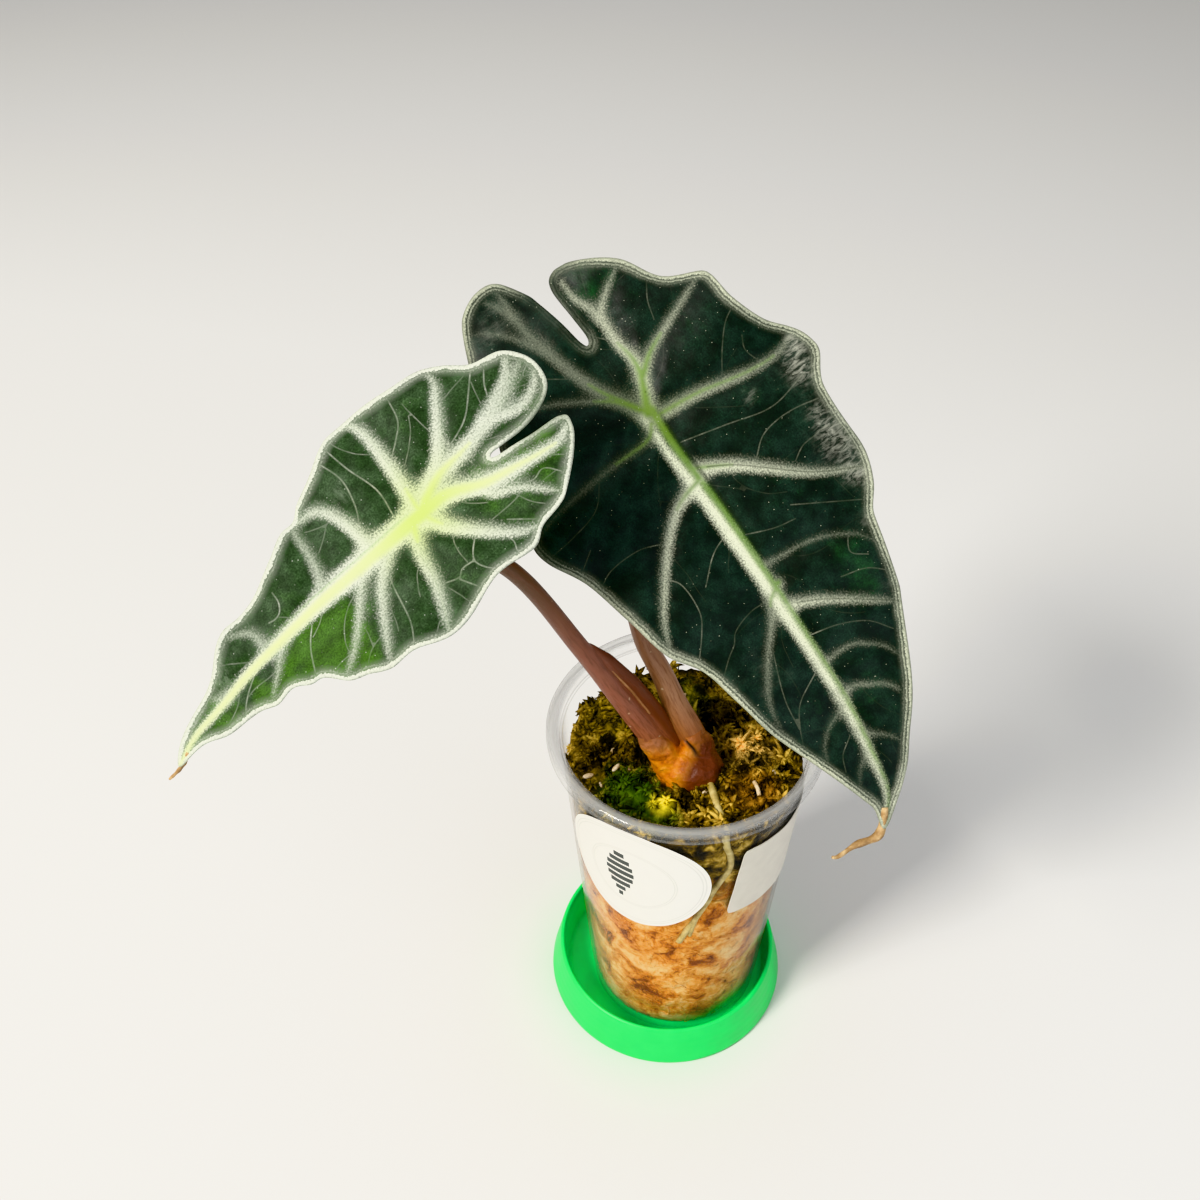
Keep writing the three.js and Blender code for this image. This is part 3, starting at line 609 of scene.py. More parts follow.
LEFT_LEAF = LeafShape(
    junction=(-67.15, -39.55, 264.75),
    midrib=(-0.6933, -0.5279, -0.4907),
    normal=(-0.08, -0.62, 0.78),
    arch=0.003,
    wave=(1.6, 27, 3),
    outline=(
        (91, 3.5), (79.5, -3.5), (68.5, -8), (58.5, -13.5), (53, -14), (42, -16.5), (36, -18.5), (30, -22),
        (26, -22.5), (22.5, -25), (14, -27.5), (5.5, -32.5), (2.5, -33), (-4.5, -32.5), (-15.5, -30),
        (-24.5, -29.5), (-30, -26.5), (-36, -21), (-44, -17.5), (-47.5, -13), (-48.5, -9), (-47.5, -4),
        (-45, -1.5), (-40, 0), (-33, 0.9), (-27, 1.1), (-24, 1.1), (-23.1, 1.7), (-24, 2.5), (-32, 3.2),
        (-41, 4.2), (-43.5, 5.1), (-45, 6.5), (-44.5, 9), (-43, 11.5), (-30.5, 23), (-27.5, 24), (-21, 24.5),
        (-16.5, 27), (-5, 26.5), (14.5, 29.5), (24, 26), (31, 25), (34, 23.5), (37, 21.5), (41.5, 19.5),
        (46.5, 14), (49.5, 13.5), (53.5, 11), (59.5, 11), (64.5, 8.5), (68.5, 7.5), (75.5, 7), (81, 4.8),
    ),
    veins=(
        Vein(((0, 0), (10, -0.4), (25, -0.9), (40, -1.4), (55, -1.1), (70, -0.3), (80, 0.8), (84.5, 2),
              (90, 3.6)), 6.6, 3.4, 1.0, core=3.8, core_reach=1.15, band_shift=-0.6, thin=0.5),
        Vein(((0, 0), (-10, -4.5), (-20.5, -5), (-26, -6), (-39.5, -11.5), (-43.5, -15.5)),
             5.0, 2.4, 0.85, core=3.0, core_reach=0.5),
        Vein(((-29, -7), (-38, -4), (-42, -4.5), (-44.5, -5.5), (-46.5, -8)), 3.0, 1.5, 0.8),
        Vein(((-34, -9.4), (-42, -11), (-45.5, -12.5)), 1.8, 0.8, 0.6),
        Vein(((-3, -2.5), (-12, -7), (-23, -20), (-25.5, -23.5), (-26, -26.5)),
             3.8, 1.7, 0.85, core=1.2, seam=0.5),
        Vein(((-0.5, -2), (-2.5, -14.5), (-3, -28), (-1.5, -31.5), (1.5, -32.4)),
             4.1, 1.8, 0.85, core=1.2, seam=0.6),
        Vein(((15, -1), (15.5, -10), (16.5, -14.5), (18, -18), (20.5, -20.5), (26, -21.5)),
             3.8, 1.7, 0.8, seam=0.4),
        Vein(((33, -2), (30, -7), (28.5, -12), (27.5, -21)), 2.6, 1.4, 0.55),
        Vein(((53, -2), (53, -7.5), (54.5, -9.5), (60, -12)), 2.2, 1.2, 0.5),
        Vein(((70, -1.5), (74, -4.5)), 1.2, 0.6, 0.4),
        Vein(((0, 0), (-8, 0.5), (-19, 6), (-30.5, 9), (-39.5, 10), (-43, 8.5)),
             5.6, 2.4, 0.9, core=3.6, core_reach=0.9),
        Vein(((-16.5, 4.8), (-17.5, 9), (-21.5, 11.5), (-25, 14.5), (-30, 21)), 2.4, 1.3, 0.75),
        Vein(((-0.5, 1), (-3.5, 7.5), (-13.5, 19.5), (-17.5, 22.5), (-19.5, 23.3)),
             4.2, 1.8, 0.85, core=1.2, seam=0.4),
        Vein(((3, 0), (6.5, 8), (8.5, 16), (14, 28)), 4.0, 1.8, 0.7, core=2.6, seam=0.6),
        Vein(((12.5, -0.5), (15, 3), (19.5, 7), (30, 23)), 3.2, 1.5, 0.7, seam=0.5),
        Vein(((19.5, -1.5), (33, 12.5), (41, 17.5)), 2.3, 1.3, 0.65, seam=0.3),
        Vein(((49, -1), (54.5, 4.5), (59.5, 8.6)), 1.1, 1.1, 0.6),
    ),
    fine_veins=(
        ((-4.5, -16.5), (-8.5, -19), (-12, -22), (-14, -28.5)),
        ((13.5, -9), (11, -13), (9, -20.5), (10.5, -28)),
        ((42, -12), (42.5, -9), (44, -7), (46, -6.5), (48, -7)), ((62, -3), (56.5, -3), (53, -4)),
        ((-38, -9.5), (-42.5, -9), (-46.5, -10.5)), ((-24.5, 12.5), (-27.5, 14), (-31, 13.5), (-34, 17.5)),
        ((-15.5, 17), (-22, 23)), ((-7.5, 13.5), (-2.5, 19.5), (-3.5, 23), (-6, 26)),
        ((-2.5, 19.5), (1.5, 19), (3, 20), (7.5, 18)), ((3.5, 20.5), (0.5, 26.5)),
        ((15, 3), (17, 8), (20, 20), (22.5, 24.5)), ((-16.5, -8), (-21, -9), (-25.5, -11), (-34.5, -19.5)),
        ((-29, -7.5), (-33, -11), (-35, -14.5), (-38, -18)), ((40, 1.5), (44, 6), (47.5, 12.5)),
        ((60, 0.5), (66, 4), (69, 6.5)), ((-31, 9), (-35, 12), (-38, 14.5)),
        ((-10, 15.5), (-13, 22), (-12, 25)), ((6, -2), (4, -12), (6, -22), (7, -30)),
    ),
    patches=(
        (34, 7, 9, 0.95), (46, 6, 8, 1.0), (60, 6, 8, 1.0), (74, 3.5, 7, 0.8), (35, 18, 6, 0.8),
        (43, 12, 5, 0.7), (56.5, 2, 2.6, -1.3), (65, 2.3, 2.6, -1.1), (49, 8, 2.2, -0.5), (-29, 7, 8, 0.5),
        (-20, 3.4, 6, 0.55), (-37, 7.5, 7, 0.5), (-20, 19, 7, 0.35), (-32, 17, 5, 0.25), (-14, 12, 5, 0.3),
        (0, 20, 6, 0.25), (-14, -21, 7, 0.2), (43, -8, 8, 0.12), (-40, -2, 6, 0.2), (72, -4, 6, 0.25),
        (85, 2, 6, 0.7),
    ),
    silver=((11.7, -18, 4.5, 0.5), (62, -8, 8, 0.45), (70, -3, 5, 0.4), (-8, -10, 6, 0.25), (14, 10, 7, 0.2)),
    painted_margin_shade_spots=((-40, 0, 9, 0.25), (-40, 3.6, 9, 0.35)),
    thread=((86, 2.9, 0), (91, 3.7, -0.4), (94, 3.4, -1), (96, 3.1, -1.6)),
    thread_radii=(0.75, 0.75, 0.5, 0.35),
)

RIGHT_LEAF = LeafShape(
    junction=(-11.8, 11.45, 263.8),
    midrib=(0.5965, -0.5141, -0.6164),
    normal=(0.12, -0.702, 0.702),
    arch=0.0028,
    wave=(1.8, 38, 8),
    outline=(
        (138.5, -8), (131.5, -7.5), (127, -9), (111, -15), (94.5, -21.5), (82, -24.5), (70, -27.5), (60, -34),
        (46, -37.5), (31, -41.5), (20, -47.5), (15, -48.5), (10, -47), (-0.5, -43), (-7, -43), (-19, -39.5),
        (-25.5, -39), (-31.5, -37.5), (-49, -30.5), (-52, -28), (-55, -22.5), (-55.5, -17.5), (-54.5, -15),
        (-52.5, -13), (-46.5, -9.3), (-43, -8.4), (-34, -6.4), (-27, -4.8), (-25.3, -3.7), (-26.5, -2.6),
        (-34, -3), (-40, -3.4), (-44.5, -3.2), (-47.5, -2), (-49, 0.5), (-49, 3), (-48.5, 5.5), (-41, 17),
        (-30.5, 25), (-25, 35.5), (-23, 36.5), (-14, 37.5), (-4.5, 42), (1.5, 47.5), (4.5, 49.5), (8, 50.5),
        (11.5, 50.5), (20.5, 45.5), (40.5, 46.5), (45.5, 45.5), (52, 42.5), (58, 38), (61, 37), (80.5, 33.5),
        (84, 32), (97, 25.5), (109, 19), (118, 13), (126.5, 7.5), (134, -0.5),
    ),
    veins=(
        Vein(((0, 0), (12, -0.2), (30, 1.0), (45, 1.6), (60, 2.0), (75, 2.1), (90, 2.2), (100, 2.0),
              (118, 0), (129.5, -2), (137, -7)),
             5.3, 3.8, 1.1, core=2.6, core_reach=1.15, core_shift=1.3, band_shift=-1.5, wake=0.55),
        Vein(((0, 0), (-14.5, -9), (-36, -16), (-44.5, -17), (-48, -18.5), (-51.5, -21)),
             5.2, 2.6, 0.34, core=2.0, core_reach=0.35),
        Vein(((-31, -14.5), (-43.5, -25), (-45.5, -29)), 3.0, 1.5, 0.26),
        Vein(((-44, -17), (-51, -16.5), (-53.5, -17.5)), 2.0, 0.9, 0.4),
        Vein(((-2, -1.5), (-7, -5.5), (-11, -11), (-16.5, -21.5), (-19, -29), (-21, -37)),
             2.6, 1.9, 0.35, core=1.6, core_reach=0.35),
        Vein(((0, 0), (-11, 4.5), (-16, 5), (-21.5, 4), (-31.5, 3.5), (-39.5, 0.5), (-45, 0.5)),
             4.6, 2.6, 0.75, core=3.0, core_reach=0.5),
        Vein(((-30.5, 3.5), (-34.5, 8), (-40, 16)), 2.6, 1.5, 0.6),
        Vein(((-9.5, 4.5), (-14, 10), (-16.5, 15), (-24.5, 33)), 3.4, 2.0, 0.55, core=2.0, core_reach=0.45),
        Vein(((2, 1), (3, 14), (6, 30.5), (6, 40), (4, 45.5)), 4.8, 2.1, 0.5, core=1.1, core_reach=0.9),
        Vein(((20.5, 2.5), (23, 7.5), (26, 12.5), (39, 28.5), (42.5, 34.5), (45.8, 42)),
             4.6, 2.1, 0.7, core=1.3, core_reach=0.25, seam=0.8),
        Vein(((54, 3), (55.5, 18), (57, 23), (61.5, 30.5), (65.5, 33.5)), 1.5, 1.3, 0.4),
        Vein(((67.5, 3.5), (69.5, 8.5), (72.5, 14), (84, 30.5)), 3.7, 1.8, 0.65, seam=0.8),
        Vein(((87, 2.5), (87, 12.5), (89.5, 16.5), (92.5, 20), (97, 22.3)), 1.5, 1.1, 0.45),
        Vein(((97.5, 1.5), (97.5, 6.5), (99.5, 10.5), (102.5, 15), (107, 17.5)), 1.9, 1.1, 0.45),
        Vein(((109.5, 0.5), (115.5, 7.5), (119, 9.8)), 1.2, 0.7, 0.4),
        Vein(((3, -1), (6, -3.5), (7.5, -20), (10.5, -40), (12.5, -45)),
             2.8, 2.0, 0.25, core=0.8, core_reach=0.4),
        Vein(((23.5, 2), (27, -8), (34.5, -16.5), (49.5, -28), (53, -30), (58, -31.8)),
             3.9, 2.0, 0.8, core=1.6, core_reach=0.25, seam=0.3),
        Vein(((60.5, 4.5), (63.5, 0), (67.5, -2.5), (78, -11), (87, -16.5), (90.5, -17.5), (95, -18)),
             3.0, 1.8, 0.42, core=1.4, seam=0.3),
        Vein(((101, 1), (103.5, -5.5), (107.5, -10), (112.5, -12)), 1.3, 1.0, 0.35),
        Vein(((116, -0.5), (119, -5), (121, -6.5), (124, -8.5)), 1.0, 0.6, 0.35),
    ),
    fine_veins=(
        ((4, 22.5), (-2.5, 26.5), (-9.5, 32.5), (-11.5, 36)),
        ((28, 18), (23.5, 23), (22, 28.5), (22, 35), (23.5, 43)),
        ((34.5, 27), (32, 31), (31.5, 35), (31, 39), (33, 45)), ((44, 19), (54, 37)),
        ((33.5, -16.5), (31, -24), (31.5, -34), (33.5, -38)), ((23.5, -35.5), (27.5, -41)),
        ((42, -22), (45.5, -19.5), (55.5, -19.5), (60, -22), (66.5, -27)),
        ((63.5, 0), (63, -6.5), (65.5, -14), (68, -16), (70.5, -19.5), (75, -24.5)),
        ((88, -0.5), (93, -9.5), (98.5, -13), (103.5, -15)), ((109, -2), (112.5, -7), (117, -9)),
        ((59, 29), (64.5, 26), (68, 30)), ((69, 20), (71, 27.5), (74.5, 32)),
        ((-21, 16), (-26.5, 17.5), (-31.5, 20.5)), ((8, 36), (0.5, 32.5), (-3.5, 34)),
        ((65, -3), (75.5, -7.5), (89.5, -12.5), (99, -13.5)), ((8, -22), (15, -28), (18, -38), (19, -45)),
        ((-18, -10), (-24, -20), (-30, -30), (-33, -35)), ((-22, 4), (-28, -1.5), (-33, -1.8)),
        ((12, 3), (15, 16), (18, 30), (15, 43)), ((44, 4), (47, 12), (48, 18)),
        ((78, 3), (80, 12), (84, 20), (90, 25)), ((40, 3.4), (43, -6), (50, -14)),
    ),
    patches=(
        (-40, 7, 8, 0.5), (65, 26, 8, 0.35), (75, 25, 7, 0.4), (12, 27, 9, 0.2), (40, 20, 9, 0.15),
        (100, 8, 12, 0.2), (-14, 22, 8, 0.25), (95, -8, 10, 0.15),
    ),
    silver=(
        (13, 42.5, 5.5, 0.8), (6, 45.5, 4, 0.6), (36, 40, 6.5, 0.85), (27, 42, 5, 0.6), (47, 40.5, 5, 0.7),
        (60, 34.5, 4, 0.4), (12.5, 26.5, 3, 0.4), (80, 31, 4, 0.3), (50, -18, 6, 0.2), (80, -14, 8, 0.25),
        (-44, -22, 8, 0.35), (20, -10, 8, 0.12),
    ),
    painted_margin_shade_spots=(
        (-40, -7, 11, 0.85), (-40, -3, 10, 0.7), (-28, -3, 6, 0.6), (-10, -42, 22, 0.6), (16, -48, 14, 0.35),
        (-35, -36, 12, 0.3),
    ),
    thread=(
        (133, -4.5, 0), (138.4, -8.6, -1), (139.4, -10.8, -1.6), (137.5, -17.9, -2), (136.8, -24.4, -1),
        (135.9, -25.6, -0.6),
    ),
    thread_radii=(1.1, 1.3, 1.3, 1.1, 0.7, 0.5),
)


# Finishes


class LeafTone(Enum):
    """The two ways that the leaves of this plant are coloured."""

    MOTTLED = "mottled grey-green, pale veins with yellow cores"
    DARK = "near-black green, silver veins with green cores"


@dataclass(frozen=True)
class UpperFace:
    """The waxy upper skin of a living leaf: a dull sheen, green panels and downy pale veins."""

    name: str = "mottled leaf skin"
    deep: str = "#24361F"  # The panels.
    light: str = "#33511C"  # The variegated patches.
    pale: str = "#87957B"  # A faint vein's band.
    bright: str = "#D6D9CB"  # A strong vein's band, and the margin.
    core: str = "#DAE2A4"  # The veins' cores.
    core_root: str = "#BED06A"  # The cores where they meet.
    seam: str = "#7C9560"  # The thin line along a band.
    net_strength: float = 0.5  # How much the fine veins show.
    web_strength: float = 0.3  # How much the finest veins show.
    margin_strength: float = 0.95  # How much the pale margin shows.
    midrib_line_and_shadow: Spot = (-2.3, 0.3, 0.4)  # Offset, half width and strength of the dark line beside the midrib, on the dark leaf a painted shadow of the raised midrib.
    painted_glint_colour: str = "#77866F"  # Painted highlight on the silvery, finely wrinkled places.
    veil: tuple[str, float] = ("#43543E", 0.5)  # Colour and strength of the greyish clouds in the panels.
    fringe: Place = (3.65, 1.25)  # Where the down of a band starts and where it is dense.
    glow: float = 0.5  # How far the colour of the cores spreads into the bands where they meet.
    # Places and strengths of the pale lines of the margin, a place of 1 being 5 mm in.
    border: Places = (
        (0.0, 0.8), (0.1, 1.0), (0.19, 1.0), (0.24, 0.45), (0.28, 0.3), (0.33, 0.5), (0.39, 0.26),
        (0.48, 0.15), (0.7, 0.0),
    )
    dust: Place = (0.15, 0.5)  # Radius in cells and strength of the dust specks.
    gloss: float = 0.12  # Strength of the wax's reflection.
    roughness: float = 0.55

    def build(self) -> Material:
        """Builds the finish from the leaf's attributes and its UV map in tenths of a metre.

        Returns:
            The material.
        """
        material, shader, add = blank_material(self.name)
        uv = add("UVMap", uv_map="leaf")
        # Patterns from a grain half a millimetre wide to a haze 15 mm wide.
        grain, mottle, cloud, haze = (
            add("TexNoise", {"Vector": uv, "Scale": 100 / size, "Detail": detail, "Roughness": 0.6})
            for size, detail in ((0.5, 2), (3.6, 4), (8, 5), (15, 2))
        )
        keys = "band core root seam net web edge light shine silver fade middle".split()
        at = SimpleNamespace(**{key: add("Attribute", attribute_name=key, output="Fac") for key in keys})
        # The down on a vein: strokes about 0.4 mm apart and 1.5 mm long that point away from it.
        way = add("Attribute", attribute_name="way", output="Vector")
        strokes = add("VectorMath", (way, (3.0, 0.9, 1.0)), "MULTIPLY")
        down = add("TexNoise", {"Vector": strokes, "Scale": 1, "Detail": 2, "Roughness": 0.7})
        band = at.band
        for pattern, amount in ((down, 1.3), (grain, 2.6), (mottle, 0.9)):
            band = add("Math", (pattern, amount, band), "MULTIPLY_ADD")
        band = add("MapRange", (band, *self.fringe, 0, 1), **SMOOTH)
        band = add("Math", (band, add("MapRange", (at.shine, 0.1, 0.9, 0.3, 1))), "MULTIPLY")
        # Fine veins are drawn about 0.35 mm wide, and the finest ones fainter.
        broken = add("MapRange", (mottle, 0.3, 0.62, 1.1, 0.35))
        lines = [
            add("Math", (add("MapRange", (near, width, width * 0.3, 0, value)), broken), "MULTIPLY")
            for near, width, value in ((at.net, 0.3, self.net_strength), (at.web, 0.24, self.web_strength))
        ]
        # The margin: a rolled pale line, then thin grooves and thinner pale lines beside it.
        border = add("Math", (mottle, 1.1, at.edge), "MULTIPLY_ADD")
        border = add("Math", (grain, 1.0, border), "MULTIPLY_ADD")
        border = add("Math", (add("Math", (border, 1.05), "SUBTRACT"), 5.0), "DIVIDE")
        rim = add("ValToRGB", (border,), stops=self.border)
        # Painted shade: the pale margin is dimmed where it lies in shade.
        rim = add("Math", (rim, add("MapRange", (at.fade, 0, 1, self.margin_strength, 0.12))), "MULTIPLY")
        pale = band
        for mark in (rim, add("Math", lines, "MAXIMUM")):
            pale = add("Math", (pale, mark), "MAXIMUM")
        # The panels: dark green with greyish clouds and variegated patches.
        patch = add("Math", (mottle, 0.8, at.light), "MULTIPLY_ADD")
        patch = add("MapRange", (add("Math", (haze, 0.3, patch), "MULTIPLY_ADD"), 0.66, 1.6), **SMOOTH)
        veil_colour, veil_strength = self.veil
        veil = add("MapRange", (cloud, 0.36, 0.68, 0, veil_strength), **SMOOTH)
        colour = linear(self.deep)
        for share, tint in ((veil, veil_colour), (patch, self.light)):
            colour = add("Mix", {0: share, 6: colour, 7: linear(tint)}, **BLEND)
        for pattern, low, high in ((mottle, 0.6, 1.4), (grain, 0.55, 1.45)):
            shade = add("MapRange", (pattern, 0.3, 0.7, low, high))
            colour = add("Mix", {0: 1, 6: colour, 7: shade}, **TINT)
        # Silvery places: the skin is crumpled into threads about a millimetre apart, whose glints are painted
        # highlights as well as bumps.
        threads = {"Scale": 100 / 1.25, "Detail": 4, "Roughness": 0.66, "Distortion": 0.9}
        threads["Vector"] = add("VectorMath", (uv, (1.0, 0.34, 1.0)), "MULTIPLY")
        crinkle_and_painted_glint = add("MapRange", (add("TexNoise", threads), 0.42, 0.66, 0.06, 1))
        silver = add("Math", (cloud, 1.5, at.silver), "MULTIPLY_ADD")
        silver = add("MapRange", (silver, 0.8, 1.8, 0, 0.8), **SMOOTH)
        silver = add("Math", (silver, add("MapRange", (at.silver, 0.02, 0.5))), "MULTIPLY")
        crinkle_and_painted_glint = add("Math", (silver, crinkle_and_painted_glint), "MULTIPLY")
        # Where the cores meet, their colour shows through the down of the whole middle.
        spread = add("MapRange", (at.root, 0, 0.9, 0, self.glow))
        chalk = linear(self.pale)
        for share, tint in ((add("Math", (at.shine, rim), "MAXIMUM"), self.bright), (spread, self.core_root)):
            chalk = add("Mix", {0: share, 6: chalk, 7: linear(tint)}, **BLEND)
        powder = add("MapRange", (grain, 0.36, 0.64, 1.12, 0.6))
        chalk = add("Mix", {0: 1, 6: chalk, 7: powder}, **TINT)
        core = add("Mix", {0: at.root, 6: linear(self.core), 7: linear(self.core_root)}, **BLEND)
        core_share = add("Math", (grain, -1.6, at.core), "MULTIPLY_ADD")
        core_share = add("MapRange", (core_share, -1.7, 0.4, 0, 0.9), **SMOOTH)
        # Thin dark lines: the seams of the bands, and one beside the midrib that ends before the tip, which
        # on the dark leaf is painted shadow.
        offset, half, value = self.midrib_line_and_shadow
        line = add("Math", (add("Math", (at.middle, offset), "SUBTRACT"),), "ABSOLUTE")
        line = add("MapRange", (line, half * 1.6, half * 0.4, 0, value))
        far = add("SeparateXYZ", (uv,))
        for none, full in ((0.6, 0.35), (0, 0.05)):
            line = add("Math", (line, add("MapRange", (far, none, full))), "MULTIPLY")
        line = add("Math", (add("MapRange", (at.seam, 0.62, 0.15, 0, 0.7)), line), "MAXIMUM")
        # Dust specks of about 0.3 mm, some of them in every few square millimetres.
        specks = add("TexVoronoi", {"Vector": uv, "Scale": 100 / 1.25, "Randomness": 1}).node.outputs
        size, strength = self.dust
        dot = add("MapRange", (specks["Distance"], size, size / 2))
        chance = add("MapRange", (add("SeparateColor", (specks["Color"],)), 0.6, 1, 0, strength))
        for share, tint in (
            (crinkle_and_painted_glint, linear(self.painted_glint_colour)), (pale, chalk), (core_share, core),
            (line, linear(self.seam)), (add("Math", (dot, chance), "MULTIPLY"), linear(self.bright)),
        ):
            colour = add("Mix", {0: share, 6: colour, 7: tint}, **BLEND)
        relief = add("Math", (crinkle_and_painted_glint, 2.5, grain), "MULTIPLY_ADD")
        fill(shader, {
            "Base Color": colour,
            "Roughness": add("MapRange", (pale, 0, 0.7, self.roughness, 0.75)),
            "Normal": add("Bump", {"Height": relief, "Strength": 0.4, "Distance": 0.12 * MM}),
            "Specular IOR Level": self.gloss,
        })
        return material


@dataclass(frozen=True)
class Underside:
    """The underside of a living leaf: no wax, so it looks dull, and its raised ribs are paler."""

    name: str
    skin: str = "#59424A"
    skin_light: str = "#6F6A55"
    rib: str = "#A8967E"
    margin: str = "#B9B49E"

    def build(self) -> Material:
        """Builds the finish from the leaf's attributes and its UV map.

        Returns:
            The material.
        """
        material, shader, add = blank_material(self.name)
        mottle = add("TexNoise", {"Vector": add("UVMap", uv_map="leaf"), "Scale": 100 / 5, "Detail": 5})
        line, net, edge = (
            add("Attribute", attribute_name=key, output="Fac") for key in ("line", "net", "edge")
        )
        rib = add("MapRange", (line, 1.6, 0.6, 0, 0.85))
        thread = add("MapRange", (net, 0.35, 0.1, 0, 0.4))
        colour = linear(self.skin)
        for share, tint in (
            (add("MapRange", (mottle, 0.35, 0.75)), self.skin_light),
            (add("Math", (rib, thread), "MAXIMUM"), self.rib),
            (add("MapRange", (edge, 1.6, 0.4, 0, 0.8)), self.margin),
        ):
            colour = add("Mix", {0: share, 6: colour, 7: linear(tint)}, **BLEND)
        bump = add("Bump", {"Height": mottle, "Strength": 0.4, "Distance": 0.3 * MM})
        fill(shader, {"Base Color": colour, "Normal": bump, "Roughness": 0.6})
        return material


@dataclass(frozen=True)
class StalkSkin:
    """The smooth skin of a living stalk: a soft sheen, long streaks and small pale pores."""

    name: str
    # Hex colours from the corm to the blade, with their shares of the length.
    colours: tuple[tuple[float, str], ...]
    streak: str
    pore: str
    # The sheath's fold: its own reddish brown, darkened with painted shade between it and the stalk.
    fold: str = "#6A3012"

    def build(self) -> Material:
        """Builds the finish from the stalk's own attributes.

        Returns:
            The material.
        """
        material, shader, add = blank_material(self.name)
        along, beside = (add("Attribute", attribute_name=key, output="Fac") for key in ("along", "beside"))
        flow = add("Attribute", attribute_name="flow", output="Vector")
        blotch = add("TexNoise", {"Vector": flow, "Scale": 0.22, "Detail": 4})
        shifted = add("Math", (blotch, 0.16, along), "MULTIPLY_ADD")
        shifted = add("Math", (shifted, 0.08), "SUBTRACT")
        streaks = add("TexNoise", {"Vector": flow, "Scale": 1.3, "Detail": 4, "Roughness": 0.65})
        place = add("TexCoord", output="Object")
        pores = add("TexVoronoi", {"Vector": place, "Scale": 1000 / 4.5}).node.outputs
        dot = add("MapRange", (pores["Distance"], 0.13, 0.07, 0, 0.8))
        chance = add("Math", (add("SeparateColor", (pores["Color"],)), 0.7), "GREATER_THAN")
        colour = add("ValToRGB", (shifted,), stops=self.colours)
        for share, tint in (
            # The sheath beside the stalk takes the fold's colour, partly painted shade.
            (beside, self.fold),
            (add("MapRange", (streaks, 0.47, 0.68, 0, 0.75)), self.streak),
            (add("Math", (dot, chance), "MULTIPLY"), self.pore),
        ):
            colour = add("Mix", {0: share, 6: colour, 7: linear(tint)}, **BLEND)
        bump = add("Bump", {"Height": streaks, "Strength": 0.55, "Distance": 0.35 * MM})
        fill(shader, {"Base Color": colour, "Normal": bump, "Roughness": 0.42})
        fill(shader, {"Subsurface Weight": 0.06, "Subsurface Radius": (0.004, 0.0015, 0.0008)})
        return material


@dataclass(frozen=True)
class PatchySkin:
    """Bark, husk or dried leaf: a dull uneven skin whose colours change over a few millimetres."""

    name: str
    colours: tuple[str, ...]  # Hex colours from the hollows to the crests.
    size: float  # Width of a patch in millimetres.
    relief: float  # Height of the fine relief in millimetres.
    roughness: float
    # Attribute, colour and raggedness of each colour that an attribute brings in.
    tints: tuple[tuple[str, str, float], ...] = ()

    def build(self) -> Material:
        """Builds the finish on object coordinates.

        Returns:
            The material.
        """
        material, shader, add = blank_material(self.name)
        place = add("TexCoord", output="Object")
        coarse, fine = (
            add("TexNoise", {
                "Vector": place, "Scale": scale / self.size, "Detail": detail, "Roughness": rough,
            })
            for scale, detail, rough in ((1000, 6, 0.62), (6000, 3, 0.5))
        )
        last = len(self.colours) - 1
        stops = [(index / last, colour) for index, colour in enumerate(self.colours)]
        tone = add("ValToRGB", (add("MapRange", (coarse, 0.3, 0.7)),), stops=stops)
        for key, tint, reach in self.tints:
            level = add("Attribute", attribute_name=key, output="Fac")
            level = add("Math", (coarse, reach, level), "MULTIPLY_ADD")
            level = add("MapRange", (level, 0.5 * reach + 0.1, 0.5 * reach + 0.8))
            tone = add("Mix", {0: level, 6: tone, 7: linear(tint)}, **BLEND)
        height = add("Math", (coarse, 2.0, fine), "MULTIPLY_ADD")
        bump = add("Bump", {"Height": height, "Strength": 0.7, "Distance": self.relief * MM})
        fill(shader, {"Base Color": tone, "Normal": bump, "Roughness": self.roughness})
        return material


